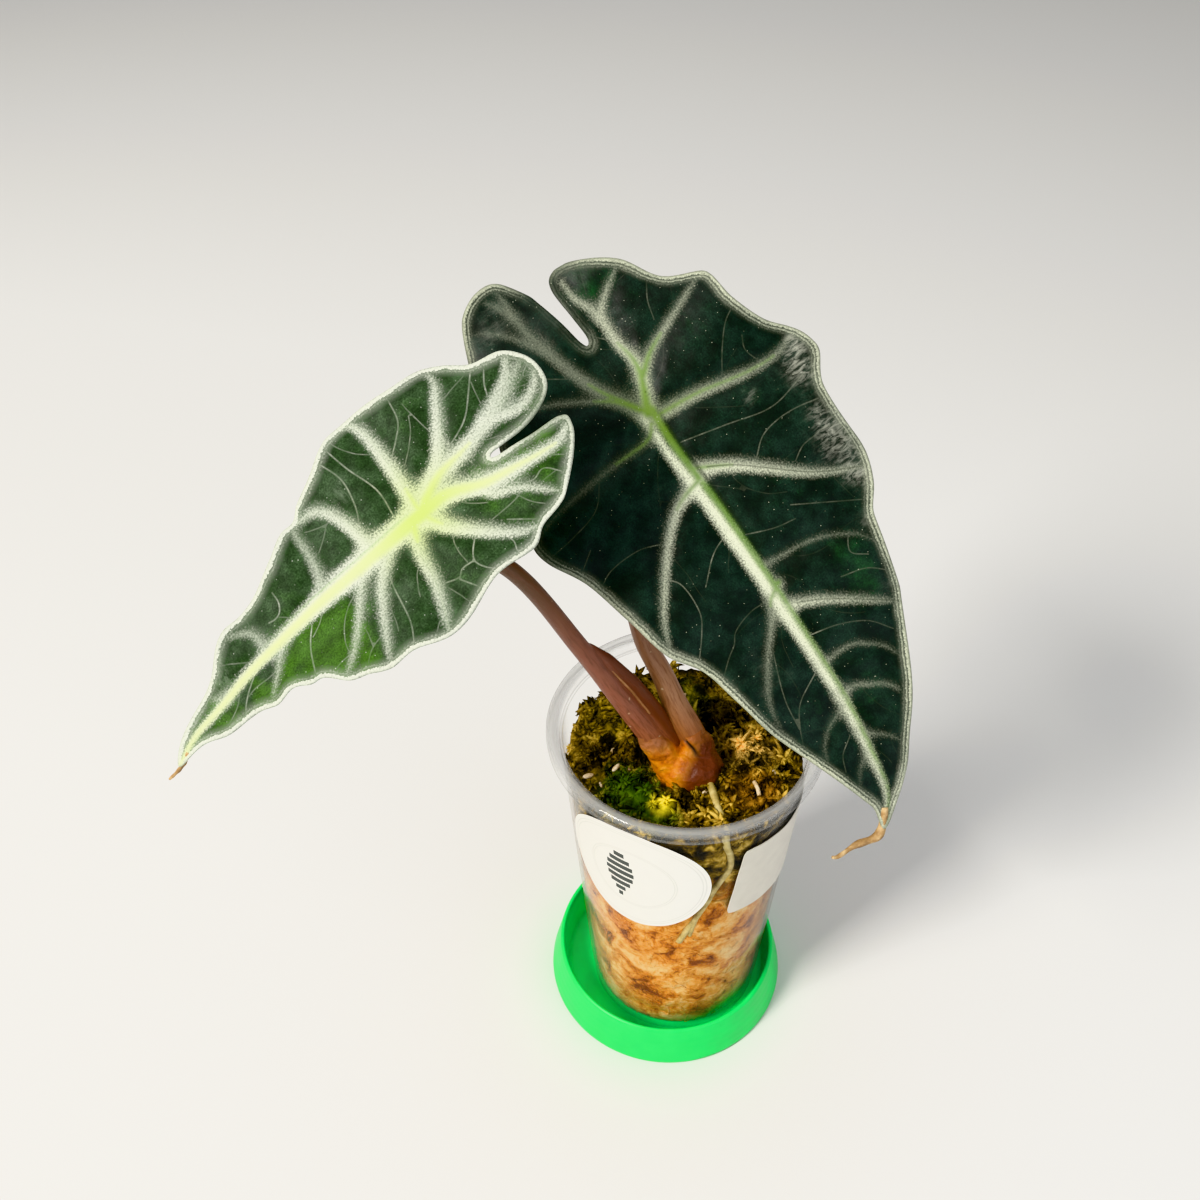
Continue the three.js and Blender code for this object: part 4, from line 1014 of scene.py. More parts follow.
@dataclass(frozen=True)
class Sphagnum:
    """Damp sphagnum: rough and dull, tan and orange where packed, olive on top with green patches."""

    name: str = "damp sphagnum"
    # Hex colours of the packed moss from its hollows to its crests.
    low: tuple[str, str, str, str] = ("#7A3C0C", "#C87826", "#E2A048", "#ECC684")
    # Hex colours of the upper moss from its hollows to its crests, the darkest ones painted shade.
    high: tuple[str, str, str, str] = ("#080601", "#302407", "#806416", "#DCBC60")
    # Colour, centre, radius and weight of each odd patch on top, the last three being painted shade.
    patches: tuple[tuple[str, Spot, float, float], ...] = (
        ("#325A10", (-14, -20, 134), 15, 0.9),
        ("#2E5010", (-4, -30, 134), 10, 0.8),
        ("#E6D43E", (-3, -25, 136), 6.2, 1.0),
        ("#F6CC78", (25, 1, 134), 12, 0.95),
        ("#9A6A2A", (27, -18, 134), 12, 0.7),
        ("#A8902C", (-22, 12, 134), 14, 0.6),
        ("#5A6A18", (4, 24, 134), 12, 0.5),
        # Painted shade: the dark hollows right and left of the corm, and behind the right stalk.
        ("#1A1306", (17.5, -3, 132), 7, 0.9),
        ("#1E1607", (-11, -4, 133), 6, 0.75),
        ("#241C08", (15, 18, 134), 9, 0.8),
    )

    def build(self) -> Material:
        """Builds the finish on object coordinates and the tint of each shoot.

        Returns:
            The material.
        """
        material, shader, add = blank_material(self.name)
        place = add("TexCoord", output="Object")
        tint = add("Attribute", attribute_name="tint", output="Fac")
        # Fibres lie in bundles about 3 mm long. Packed against the wall, the moss lies in swirls about 12 mm
        # wide. On top it grows in clumps about 6 mm wide, with painted shade in the hollows between them.
        fibre, patch, clump = (
            add("TexNoise", {
                "Vector": place, "Scale": 1000 / size, "Detail": detail, "Roughness": rough,
                "Distortion": bent,
            })
            for size, detail, rough, bent in ((3, 6, 0.7, 1.4), (12, 5, 0.6, 0.7), (6, 3, 0.5, 0))
        )
        clumps_and_painted_shade = add("Math", (fibre, add("MapRange", (clump, 0.3, 0.7, -0.3, 0.34))), "ADD")
        mixed = add("Math", (tint, 0.22, clumps_and_painted_shade), "MULTIPLY_ADD")
        swirled = add("Math", (tint, 0.05, fibre), "MULTIPLY_ADD")
        swirled = add("Math", (patch, 1.9, swirled), "MULTIPLY_ADD")
        swirled = add("Math", (swirled, 0.86), "SUBTRACT")
        low, high = (
            add("ValToRGB", (level,), stops=zip((0.3, 0.48, 0.66, 0.9), colours))
            for colours, level in ((self.low, swirled), (self.high, mixed))
        )
        height = add("SeparateXYZ", (place,), output="Z")
        share = add("MapRange", (add("Math", (patch, 0.05, height), "MULTIPLY_ADD"), 0.112, 0.14), **SMOOTH)
        colour = add("Mix", {0: share, 6: low, 7: high}, **BLEND)
        lit = add("MapRange", (mixed, 0.34, 0.78, 0.04, 1.45))
        for tone, centre, radius, weight in self.patches:
            reach = radius * MM
            distance = add("VectorMath", (place, Vector(centre) * MM), "DISTANCE", output="Value")
            distance = add("Math", (fibre, reach, distance), "MULTIPLY_ADD")
            near = add("MapRange", (distance, reach * 1.6, reach * 0.9, 0, weight), **SMOOTH)
            spot = add("Mix", {0: 1, 6: linear(tone), 7: lit}, **TINT)
            colour = add("Mix", {0: near, 6: colour, 7: spot}, **BLEND)
        bump = add("Bump", {"Height": fibre, "Strength": 0.8, "Distance": 0.9 * MM})
        fill(shader, {"Base Color": colour, "Normal": bump, "Roughness": 0.75, "Specular IOR Level": 0.12})
        return material


@dataclass(frozen=True)
class ClearPlastic:
    """Thin clear thermoformed plastic: see-through face on, denser and greyer at its edges and rim."""

    name: str = "clear thermoformed plastic"
    face_tint: str = "#B4B4B0"  # Seen face on.
    edge_tint: str = "#8A8985"  # Seen edge on.
    face_alpha: float = 0.025
    edge_alpha: float = 0.62
    rim_heights: Place = (0.1415, 0.147)  # Span of the rim in metres.
    # Share of that span and density of each step of the rolled rim; its two dense bands are the rim seen edge
    # on and partly painted highlight lines.
    rim: Places = ((0.0, 0.0), (0.08, 0.3), (0.22, 0.05), (0.62, 0.06), (0.8, 0.34), (1.0, 0.5))

    def build(self) -> Material:
        """Builds the finish on object coordinates.

        Returns:
            The material.
        """
        material, shader, add = blank_material(self.name)
        facing = add("LayerWeight", {"Blend": 0.35}, output="Facing")
        alpha = add("MapRange", (facing, 0.46, 1, self.face_alpha, self.edge_alpha), **SMOOTH)
        height = add("SeparateXYZ", (add("TexCoord", output="Object"),), output="Z")
        # The rim's dense bands stand partly for painted highlight lines.
        rim = add("ValToRGB", (add("MapRange", (height, *self.rim_heights)),), stops=self.rim)
        colour = add("Mix", {0: facing, 6: linear(self.face_tint), 7: linear(self.edge_tint)}, **BLEND)
        alpha = add("Math", (alpha, rim), "ADD")
        fill(shader, {"Base Color": colour, "Alpha": alpha, "Roughness": 0.07, "IOR": 1.57})
        return material


@dataclass(frozen=True)
class MouldedPlastic:
    """Moulded polypropylene: an opaque satin colour that light soaks into, with faint rings."""

    name: str = "green moulded plastic"
    colour: str = "#00DC60"
    recess: str = "#06FF78"  # Painted light: brighter so that the recess looks lit by the light that reaches it through the plastic.
    painted_light_radii: Place = (0.0412, 0.0406)  # Where one turns into the other, in metres.
    ring: float = 0.5  # Spacing of the rings in millimetres.

    def build(self) -> Material:
        """Builds the finish on object coordinates.

        Returns:
            The material.
        """
        material, shader, add = blank_material(self.name)
        place = add("TexCoord", output="Object")
        waves = {"Vector": place, "Scale": 1000 / self.ring / 20, "Distortion": 0.15, "Detail": 1}
        rings = add("TexWave", waves, output="Fac", bands_direction="Z")
        speck = add("TexNoise", {"Vector": place, "Scale": 1000 / 9, "Detail": 4})
        flat = add("VectorMath", (place, (1, 1, 0)), "MULTIPLY")
        radius = add("VectorMath", (flat,), "LENGTH", output="Value")
        # The recess gets its painted light inside these radii.
        painted_light_share = add("MapRange", (radius, *self.painted_light_radii, 0, 1))
        tone = add("Mix", {0: painted_light_share, 6: linear(self.colour), 7: linear(self.recess)}, **BLEND)
        shade = add("MapRange", (speck, 0.3, 0.7, 0.9, 1.06))
        fill(shader, {
            "Base Color": add("Mix", {0: 1, 6: tone, 7: shade}, **TINT),
            "Roughness": add("MapRange", (speck, 0.35, 0.65, 0.34, 0.46)),
            "Normal": add("Bump", {"Height": rings, "Strength": 0.25, "Distance": 0.08 * MM}),
            "Subsurface Weight": 0.35,
            "Subsurface Radius": (0.002, 0.008, 0.004),
        })
        return material


@dataclass(frozen=True)
class PrintedPaper:
    """Coated white paper, smooth and dull. A printed label has grey rings and a few plain dark bars."""

    name: str
    paper: str
    ink: str = "#3B403C"  # The bars.
    pencil: str = "#C9C7BF"  # The thin rings.
    rings: Row = ()  # Radii of the rings in millimetres, none on a bare label.
    bars: Blobs = ()  # Centre, half width and half height of each bar in millimetres.

    def build(self) -> Material:
        """Builds the finish on the label's UV map, which is in tenths of a metre.

        Returns:
            The material.
        """
        material, shader, add = blank_material(self.name)
        uv = add("UVMap", uv_map="label")
        fibre = add("TexNoise", {"Vector": uv, "Scale": 100 / 5, "Detail": 5})
        shade = add("MapRange", (fibre, 0.3, 0.7, 0.94, 1.02))
        colour = add("Mix", {0: 1, 6: linear(self.paper), 7: shade}, **TINT)
        radius = add("VectorMath", (uv,), "LENGTH", output="Value")
        marks = []
        for ring in self.rings:
            gap = add("Math", (add("Math", (radius, ring / 100), "SUBTRACT"),), "ABSOLUTE")
            marks.append((add("MapRange", (gap, 0.0032, 0.0016, 0, 0.8)), self.pencil))
        for x, y, half_width, half_height in self.bars:
            scaled = add("VectorMath", (uv, (x / 100, y / 100, 0)), "SUBTRACT")
            scaled = add("VectorMath", (scaled, (100 / half_width, 100 / half_height, 0)), "MULTIPLY")
            sides = add("SeparateXYZ", (add("VectorMath", (scaled,), "ABSOLUTE"),)).node.outputs
            marks.append((add("MapRange", (add("Math", sides[:2], "MAXIMUM"), 1.02, 0.96)), self.ink))
        for share, tint in marks:
            colour = add("Mix", {0: share, 6: colour, 7: linear(tint)}, **BLEND)
        bump = add("Bump", {"Height": fibre, "Strength": 0.2, "Distance": 0.1 * MM})
        fill(shader, {"Base Color": colour, "Normal": bump, "Roughness": 0.5})
        return material


UPPER_FACES = {
    LeafTone.MOTTLED: UpperFace(),
    LeafTone.DARK: UpperFace(
        name="dark leaf skin", deep="#051108", light="#1A3C1C", pale="#4E5849", bright="#D9DDC2",
        core="#5E7C3A", core_root="#5E7A2C", seam="#141F10", net_strength=0.26, web_strength=0.05,
        # The line beside its midrib is painted shadow.
        margin_strength=0.8, midrib_line_and_shadow=(2.9, 0.6, 0.6), painted_glint_colour="#A2A394",
        veil=("#1F2F26", 0.68), fringe=(3.4, 0.4), glow=0.25,
        border=((0.0, 0.7), (0.13, 1.0), (0.19, 0.8), (0.23, 0.3), (0.27, 0.35), (0.32, 0.85), (0.38, 0.6),
                (0.43, 0.2), (0.49, 0.4), (0.57, 0.12), (0.74, 0.0)),
        dust=(0.13, 0.55), gloss=0.24, roughness=0.48,
    ),
}

CORM_SKIN = PatchySkin(
    "corm bark", ("#843E08", "#D07412", "#EC9826", "#F8BE62"), size=6, relief=0.45, roughness=0.5,
    # The corm's darker right side is painted shade.
    tints=(("collar", "#AC6E46", 0.55), ("dusk", "#642A06", 0.6), ("crack", "#1A0A04", 0.2)),
)
ROOT_SKIN = PatchySkin("pale root", ("#8F7A3C", "#BBA765", "#D8CB93"), size=4, relief=0.15, roughness=0.55)
TIP_SKIN = PatchySkin("dry leaf tip", ("#5B4028", "#9C7B4E", "#D3B98A"), size=5, relief=0.2, roughness=0.6)
STRAW_BITS = PatchySkin("husk bits", ("#A07A4A", "#D9BE93", "#F0E2C6"), size=2, relief=0.2, roughness=0.7)

LEFT_STALK_SKIN = StalkSkin(
    "reddish stalk skin",
    (
        (0.0, "#C47C34"), (0.05, "#AC6C4C"), (0.2, "#A0644E"), (0.45, "#8E5641"),
        (0.7, "#5E4028"), (1.0, "#483A22"),
    ),
    streak="#6A3E2A",
    pore="#E2C09A",
)
RIGHT_STALK_SKIN = StalkSkin(
    "olive red stalk skin",
    (
        (0.0, "#BC681C"), (0.06, "#A4683E"), (0.2, "#B2825E"), (0.45, "#966C54"),
        (0.75, "#6C4A36"), (1.0, "#523C26"),
    ),
    streak="#7C4C32",
    pore="#E4C8A0",
)
MEMBRANE = PatchySkin("sheath edge", ("#8A5A34", "#B9855A", "#CFA277"), size=5, relief=0.1, roughness=0.5)


# Leaves


@dataclass
class Blade:
    """A leaf blade: a thin waved plate with sunken veins above and ribs below."""

    name: str  # Name of the piece and of its solid.
    shape: LeafShape
    tone: LeafTone
    spacing: float  # Distance between the points of its mesh.
    thickness: float = 0.9  # Thickness away from the margin.
    pillow: float = 1.0  # How far the panels stand above the veins.

    @cached_property
    def twigs(self) -> list[Array]:
        """Grows the finest veins from the main veins, until they meet another or the margin.

        Returns:
            Flat paths.
        """
        step, clearance = 0.8, 0.85
        rng = np.random.default_rng(len(self.name) * 5)
        outline = smooth_path(self.shape.outline, 0.8, closed=True)
        mains = [smooth_path(vein.path, 1.0) for vein in self.shape.veins]
        taken = [smooth_path(path, 1.0) for path in self.shape.fine_veins]
        apart = 8 if self.tone is LeafTone.MOTTLED else 15
        grown: list[Array] = []
        for number, main in enumerate(mains):
            tangents = np.gradient(main, axis=0)
            others = [outline, *(path for i, path in enumerate(mains) if i != number), *taken]
            for turn, spot in enumerate(np.arange(6 + rng.integers(0, 4), len(main) - 3, apart)):
                side = 1 if turn % 2 else -1
                heading = math.atan2(tangents[spot][1], tangents[spot][0]) + side * rng.uniform(0.6, 1.15)
                bend = -side * rng.uniform(0.01, 0.05)
                steps = [main[spot]]
                known = np.vstack(others + grown)
                for stride in range(int(rng.integers(12, 28))):
                    heading += bend + rng.normal(0, 0.05)
                    place = steps[-1] + step * np.array((math.cos(heading), math.sin(heading)))
                    steps.append(place)
                    if stride > 3 and np.linalg.norm(known - place, axis=1).min() < clearance:
                        break
                if len(steps) > 6 and inside(np.array(steps[1:-1]), outline).all():
                    grown.append(smooth_path([*steps[:-1:2], steps[-1]], self.spacing * 0.8))
        return grown

    def flat_mesh(self) -> tuple[Array, list[list[int]]]:
        """Splits the flat blade into small triangles that follow its margin and veins.

        Returns:
            Flat points and triangles that turn leftward seen from above.
        """
        rim = smooth_path(self.shape.outline, self.spacing * 0.75, closed=True)
        paths = [*(vein.path for vein in self.shape.veins), *self.shape.fine_veins]
        lines = [*(smooth_path(path, self.spacing * 0.8) for path in paths), *self.twigs]
        ring = np.vstack([rim, rim[:1]])
        places, edges, count = [rim], [], len(rim)
        for line in lines:
            margin = nearest_on_path(line, ring)[0]
            line = line[inside(line, rim) & (margin > self.spacing * 0.4)]
            edges += [(count + i, count + i + 1) for i in range(len(line) - 1)]
            places.append(line)
            count += len(line)
        low, high = rim.min(0), rim.max(0)
        grid = np.array([
            (s, w)
            for i, w in enumerate(np.arange(low[1], high[1], self.spacing * 0.866))
            for s in np.arange(low[0] + (i % 2) * self.spacing / 2, high[0], self.spacing)
        ])
        grid = grid[inside(grid, rim)]
        clear = np.ones(len(grid), bool)
        for line in (ring, *lines):
            clear &= nearest_on_path(grid, line)[0] > self.spacing * 0.5
        points = [Vector(point) for point in np.vstack([*places, grid[clear]])]
        face = [list(range(len(rim) - 1, -1, -1))]
        flat, _, triangles, *_ = delaunay_2d_cdt(points, edges, face, 1, 1e-4)
        return np.array([tuple(p) for p in flat]), [list(t) for t in triangles]

    def fields(self, places: Array) -> dict[str, Array]:
        """Works out what the finish and the relief need to know at each flat point.

        Args:
            places: Flat points of the blade.

        Returns:
            Named values, one a point. Lengths are in millimetres.
        """
        outline = smooth_path(self.shape.outline, 0.8, closed=True)
        count, soft = len(places), 0.9
        closeness, shine, rib = np.zeros((3, count))
        line, core, seam = np.full(count, 99.0), np.full(count, -3.0), np.full(count, 9.0)
        way = np.zeros((count, 3))
        for number, item in enumerate(self.shape.veins):
            path = smooth_path(item.path, 1.0)
            distance, share, offset = nearest_on_path(places, path)
            tangents = np.gradient(path, axis=0)
            tangent = tangents[np.minimum((share * (len(path) - 1)).astype(int), len(path) - 1)]
            signed = distance * np.sign(tangent[:, 0] * offset[:, 1] - tangent[:, 1] * offset[:, 0])
            taper = np.interp(share, (0, 0.25, 0.6, 0.85, 1), (1, 0.92, 0.75, 0.55, 0.3))
            taper *= np.interp(share, (0.28, 0.6), (1, 1 - item.thin))
            taper *= np.interp(share, (0.06, 0.3), (item.wake, 1))
            beyond = np.abs(signed - item.band_shift * (1 - share)) - 0.5 * item.band * taper
            if number:
                # The side that faces the leaf's base fades slowly, the other one is brighter: painted light
                # and shade of the vein's relief.
                beyond = np.where((offset[:, 0] < 0) & (beyond > 0), beyond * 0.62, beyond)
            else:
                middle = signed
            weight = np.exp(-np.clip(beyond, -9, 30) / soft)
            closeness += weight
            # Painted light: the side of a band towards the tip is made brighter.
            shine += weight * item.shine * (1 - 0.3 * share) * (1 + 0.22 * np.tanh(offset[:, 0] / 0.9))
            course = np.column_stack([share * len(path), distance, np.full(count, 7.0 * number)])
            way = np.where((distance < line)[:, None], course, way)
            line = np.minimum(line, distance)
            if item.core:
                half = 0.5 * item.core * np.clip(1 - share / item.core_reach, 0, 1) ** 0.8
                inner = half - np.abs(signed - item.core_shift * (1 - 0.5 * share))
                core = np.maximum(core, np.where(half > 0.05, inner, -3))
            if item.seam:
                seam = np.minimum(seam, distance + 1.2 * (1 - item.seam) + 9 * (share < 0.06))
            end = np.linalg.norm(places - np.array(item.path[-1]), axis=1)
            size = 0.5 * item.rib * np.minimum(1, 0.25 + end / 30)
            reach = np.clip(distance / (0.5 * item.rib + 0.3), 0, 1)
            rib = np.maximum(rib, size * np.cos(reach * math.pi / 2) ** 1.5)
        found = {
            "band": -soft * np.log(closeness), "core": core, "seam": seam, "middle": middle,
            "root": hump(np.linalg.norm(places, axis=1), 14), "shine": shine / closeness,
            "edge": nearest_on_path(places, np.vstack([outline, outline[:1]]))[0], "line": line,
            "rib": rib, "way": way,
        }
        nets = [smooth_path(path, 1.0) for path in self.shape.fine_veins]
        for key, paths in (("net", nets), ("web", self.twigs)):
            found[key] = np.full(count, 9.0)
            for path in paths:
                found[key] = np.minimum(found[key], nearest_on_path(places, path)[0])
        shape = self.shape
        spots = {"light": shape.patches, "silver": shape.silver, "fade": shape.painted_margin_shade_spots}
        for key, blobs in spots.items():
            found[key] = np.zeros(count)
            for s, w, radius, value in blobs:
                gap = (places[:, 0] - s) ** 2 + (places[:, 1] - w) ** 2
                found[key] += value * np.exp(-gap / radius**2)
        return found

    def build(self) -> None:
        """Builds and dresses the blade and its dry tip."""
        flat, triangles = self.flat_mesh()
        data = self.fields(flat)
        edge = data["edge"]
        margin = 1 - np.exp(-edge / 5)
        top = self.shape.height(flat, edge) + self.pillow * (1 - hump(data["line"], 4)) * margin
        top += 0.55 * np.clip(data["core"] / 1.2, 0, 1) ** 0.7
        top -= (0.12 * hump(data["net"], 0.5) + 0.07 * hump(data["web"], 0.4)) * margin
        top += 0.2 * fractal(flat, 5.5, 2.0, 3) * margin
        top += 0.25 * hump(edge - 0.5, 0.5) - 0.12 * hump(edge - 1.2, 0.3)
        plate = self.thickness - 0.5 * np.exp(-edge / 0.9)
        bottom = top - plate - data["rib"] * np.clip(edge / 3, 0, 1)
        count = len(flat)
        places = np.vstack([np.column_stack([flat, height]) for height in (top, bottom)])
        under = [(a + count, c + count, b + count) for a, b, c in triangles]
        used = {(t[i], t[(i + 1) % 3]) for t in triangles for i in range(3)}
        wall = [(b, a, a + count, b + count) for a, b in used if (b, a) not in used]
        piece = make_mesh(self.name, self.shape.world(places), [*triangles, *under, *wall])
        store(piece, **{name: np.concatenate([values, values]) for name, values in data.items()})
        store_uv(piece, "leaf", np.vstack([flat, flat]) / 100)
        for finish in (UPPER_FACES[self.tone], Underside(name=f"{self.name} underside")):
            piece.data.materials.append(finish.build())
        indices = np.zeros(len(piece.data.polygons), np.int32)
        indices[len(triangles) : 2 * len(triangles)] = 1
        piece.data.polygons.foreach_set("material_index", indices)
        finish_piece(piece, self.name, None, self.name)
        self.build_thread()

    def build_thread(self) -> None:
        """Builds the thin dry tip that the blade ends in."""
        knots = np.array(self.shape.thread)
        outline = smooth_path(self.shape.outline, 1.0, closed=True)
        edge = nearest_on_path(knots[:, :2], np.vstack([outline, outline[:1]]))[0]
        height = self.shape.height(knots[:, :2], edge) - 0.45 + knots[:, 2]
        path = smooth_path(np.column_stack([knots[:, :2], height]), 0.5)
        share = np.linspace(0, 1, len(path))
        radii = at_shares(self.shape.thread_radii, share) * (1 + 0.12 * np.sin(share * 23))
        piece = make_mesh(self.name.replace("blade", "tip"), *tube(self.shape.world(path), radii, 12))
        finish_piece(piece, self.name, TIP_SKIN.build())


# Stalks and corm


@dataclass
class Stalk:
    """A leaf stalk, with the fold of its sheath where it has one."""

    name: str  # Name of the piece and of its solid.
    leaf: LeafShape
    skin: StalkSkin
    knots: Spots  # Points from the corm up.
    radii: Row  # Radii spread evenly along the length.
    fold: bool = False  # Whether it has the sheath's fold.
    fold_span: Place = (0.03, 0.47)  # Shares of the length between which the fold runs.
    fold_across: Spot = (0.745, 0.49, 0.446)  # Direction from the stalk to the fold.

    def path(self) -> Array:
        """Gives the centre line, which ends on the normal under the blade's junction.

        Returns:
            Points 0.8 mm apart.
        """
        junction = np.array(self.leaf.junction)
        normal = np.array(self.leaf.normal) / np.linalg.norm(self.leaf.normal)
        ends = [junction - normal * depth for depth in (10.3, 0.8)]
        return smooth_path([*self.knots, *ends], 0.8)

    def fold_paths(self, path: Array) -> tuple[Array, Array, Array]:
        """Lays out the sheath, a rounded fold beside the stalk, and its thin free edge.

        Args:
            path: The stalk's centre line.

        Returns:
            The fold's centre line, its radii, and the centre line of its edge.
        """
        last = len(path) - 1
        rows = path[int(self.fold_span[0] * last) : int(self.fold_span[1] * last)]
        across = np.array(self.fold_across) / np.linalg.norm(self.fold_across)
        share = np.linspace(0, 1, len(rows))
        reach = np.interp(share, (0, 0.3, 0.55, 0.8, 1), (4.6, 6.2, 6.0, 4.3, 1.8))
        radii = np.interp(share, (0, 0.3, 0.55, 0.8, 0.95, 1), (3.4, 2.8, 2.5, 2.0, 1.2, 0.5))
        front = np.cross(np.gradient(rows, axis=0), across)
        front /= np.linalg.norm(front, axis=1)[:, None]
        front *= np.sign(front @ np.array((0.0, -0.6, 0.8)))[:, None]
        fold = rows + across * reach[:, None] - front * 0.9
        edge = fold + front * (radii * 0.75)[:, None] - across * (radii * 0.7)[:, None]
        return fold, radii, edge[len(edge) // 3 : -2]

    def build(self) -> None:
        """Builds and dresses the stalk."""
        path = self.path()
        last = len(path) - 1
        share = np.linspace(0, 1, len(path))
        radii = at_shares(self.radii, share)
        # It widens where it meets the blade.
        radii = np.where(share > 0.97, radii + (share - 0.97) * 22, radii)
        parts = [tube(path, radii, 28)]
        if self.fold:
            fold, fold_radii, edge = self.fold_paths(path)
            parts.append(tube(fold, fold_radii, 20))
            # A thin web joins the fold to the stalk.
            ease = np.linspace(0.3, 0.7, 3)[:, None, None]
            between = path[int(self.fold_span[0] * last) :][: len(fold)]
            parts += [tube(row, np.full(len(fold), 1.1), 10) for row in between * (1 - ease) + fold * ease]
            membrane = make_mesh(f"{self.name}_edge", *tube(edge, np.full(len(edge), 0.42), 8))
            finish_piece(membrane, "petiole", MEMBRANE.build())
        piece = make_mesh(self.name, *joined(parts))
        places = fuse(piece, 0.42, 6)
        _, along, offset = nearest_on_path(places, path)
        across, up = frames_along(path)
        index = (along * last).astype(int)
        sides = [(offset * axis[index]).sum(1) for axis in (across, up)]
        # The streaks are ten times as long as they are wide.
        flow = np.column_stack([*sides, along * (len(path) * 0.8) * 0.1])
        beyond = np.linalg.norm(offset, axis=1) - at_shares(self.radii, along)
        beside = np.clip(beyond / 1.5, 0, 1) if self.fold else np.zeros(len(places))
        store(piece, along=along, flow=flow, beside=beside)
        finish_piece(piece, "petiole", self.skin.build(), self.name)


@dataclass
class Corm:
    """The stem base: a stub with the torn collars of the stalks round its top."""

    # Points of the stub's centre line.
    axis: Spots = ((7.5, -8, 121), (5.4, -7.8, 131), (2.2, -6.9, 137), (0.4, -6.4, 141))
    radii: Row = (2.5, 6.6, 8.4, 9.3, 9.7, 9.4, 8.4, 6.4, 3)  # Radii spread evenly along it.
    stretch: float = 1.2  # How much wider than deep it is.
    # Points and radii of each stalk's collar.
    collars: tuple[tuple[Spots, Row], ...] = (
        (((0, -6.6, 133), (-3.2, -8, 139), (-6.6, -9.4, 146), (-10.6, -10.6, 153.5)), (7, 5.6, 4.4, 2.6)),
        (((7.8, -4.4, 133), (7.4, -4.4, 139), (4.9, -4.0, 147.5)), (6.9, 6.0, 3.9)),
    )
    # Points along the dark crack in its top.
    crack: Spots = (
        (1.4, -6.2, 147.0), (4.1, -8.3, 146), (6.6, -9.1, 143.4), (8.8, -9.5, 140), (10.3, -9.8, 136.9),
    )

    def build(self) -> None:
        """Builds and dresses the corm."""
        parts = []
        collars = [(*collar, 32) for collar in self.collars]
        for knots, sizes, sides in ((self.axis, self.radii, 40), *collars):
            path = smooth_path(knots, 0.6)
            parts.append(tube(path, at_shares(sizes, np.linspace(0, 1, len(path))), sides))
        stub, middle = parts[0][0], self.axis[2][0]
        stub[:, 0] = middle + (stub[:, 0] - middle) * self.stretch
        piece = make_mesh("corm_body", *joined(parts))
        places = fuse(piece, 0.4, 14)
        normals = np.array([tuple(v.normal) for v in piece.data.vertices])
        crack = path_gap(places, smooth_path(self.crack, 0.4))
        knobs = np.abs(fractal(places, 6.0, 6.0, 3))
        lift = 0.5 * fractal(places, 6.5, 1.0, 5) - 0.8 * knobs + 0.25 - 0.9 * hump(crack, 0.7)
        move_points(piece, places + normals * lift[:, None])
        store(
            piece,
            collar=np.clip((places[:, 2] - 142.5) / 8, 0, 1),
            # Painted shade: the right side is darkened.
            dusk=np.clip((places[:, 0] - 0.55 * places[:, 1] - 7.5) / 9, 0, 0.85),
            crack=hump(crack, 0.75),
        )
        finish_piece(piece, "corm", CORM_SKIN.build(), "corm")


# Cup, labels and stand

# Edges that bend by more degrees stay sharp.
CREASE = 50.0


@dataclass
class Cup:
    """The clear cup: tapered wall, base ring, and a rim rolled outward."""

    centre_x: float = 3.5
    base_z: float = 3.0
    wall: float = 0.9
    foot_radius: float = 32.7
    top_radius: float = 42.7
    wall_height: float = 139.2
    # Radius and height of each corner of its section, up the outside and down the inside.
    section: Places = (
        (0, 2.0), (27.6, 2.0), (28.5, 1.7), (29.0, 0.5), (29.5, 0.05), (30.2, 0), (32.0, 0), (32.6, 0.25),
        (32.8, 0.8), (33.6, 12.4), (33.75, 12.9), (33.9, 13.4), (42.4, 134.6), (42.75, 136.0), (42.8, 139.2),
        (43.1, 140.6), (43.9, 141.6), (45.0, 142.1), (46.0, 141.6), (46.35, 140.4), (46.4, 139.3),
        (46.9, 139.1), (47.3, 139.3), (47.45, 140.5), (47.4, 142.2), (46.9, 143.3), (46.0, 143.9),
        (45.0, 144.0), (44.0, 143.7), (43.2, 143.0), (42.6, 142.0), (42.1, 140.6), (41.85, 139.2),
        (41.75, 136.0), (41.4, 134.6), (33.0, 13.4), (32.2, 4.2), (31.4, 3.3), (30.4, 2.9), (0, 2.9),
    )

    def outer_radius(self, z: float | Array) -> float | Array:
        """Gives the outer radius of the wall at a height."""
        taper = (self.top_radius - self.foot_radius) / self.wall_height
        return self.foot_radius + taper * (z - self.base_z)

    def build(self) -> None:
        """Builds and dresses the cup."""
        places, faces = lathe(self.section)
        places += (self.centre_x, 0, self.base_z)
        finish_piece(make_mesh("cup_clear", places, faces, CREASE), "cup", ClearPlastic().build(), "cup")


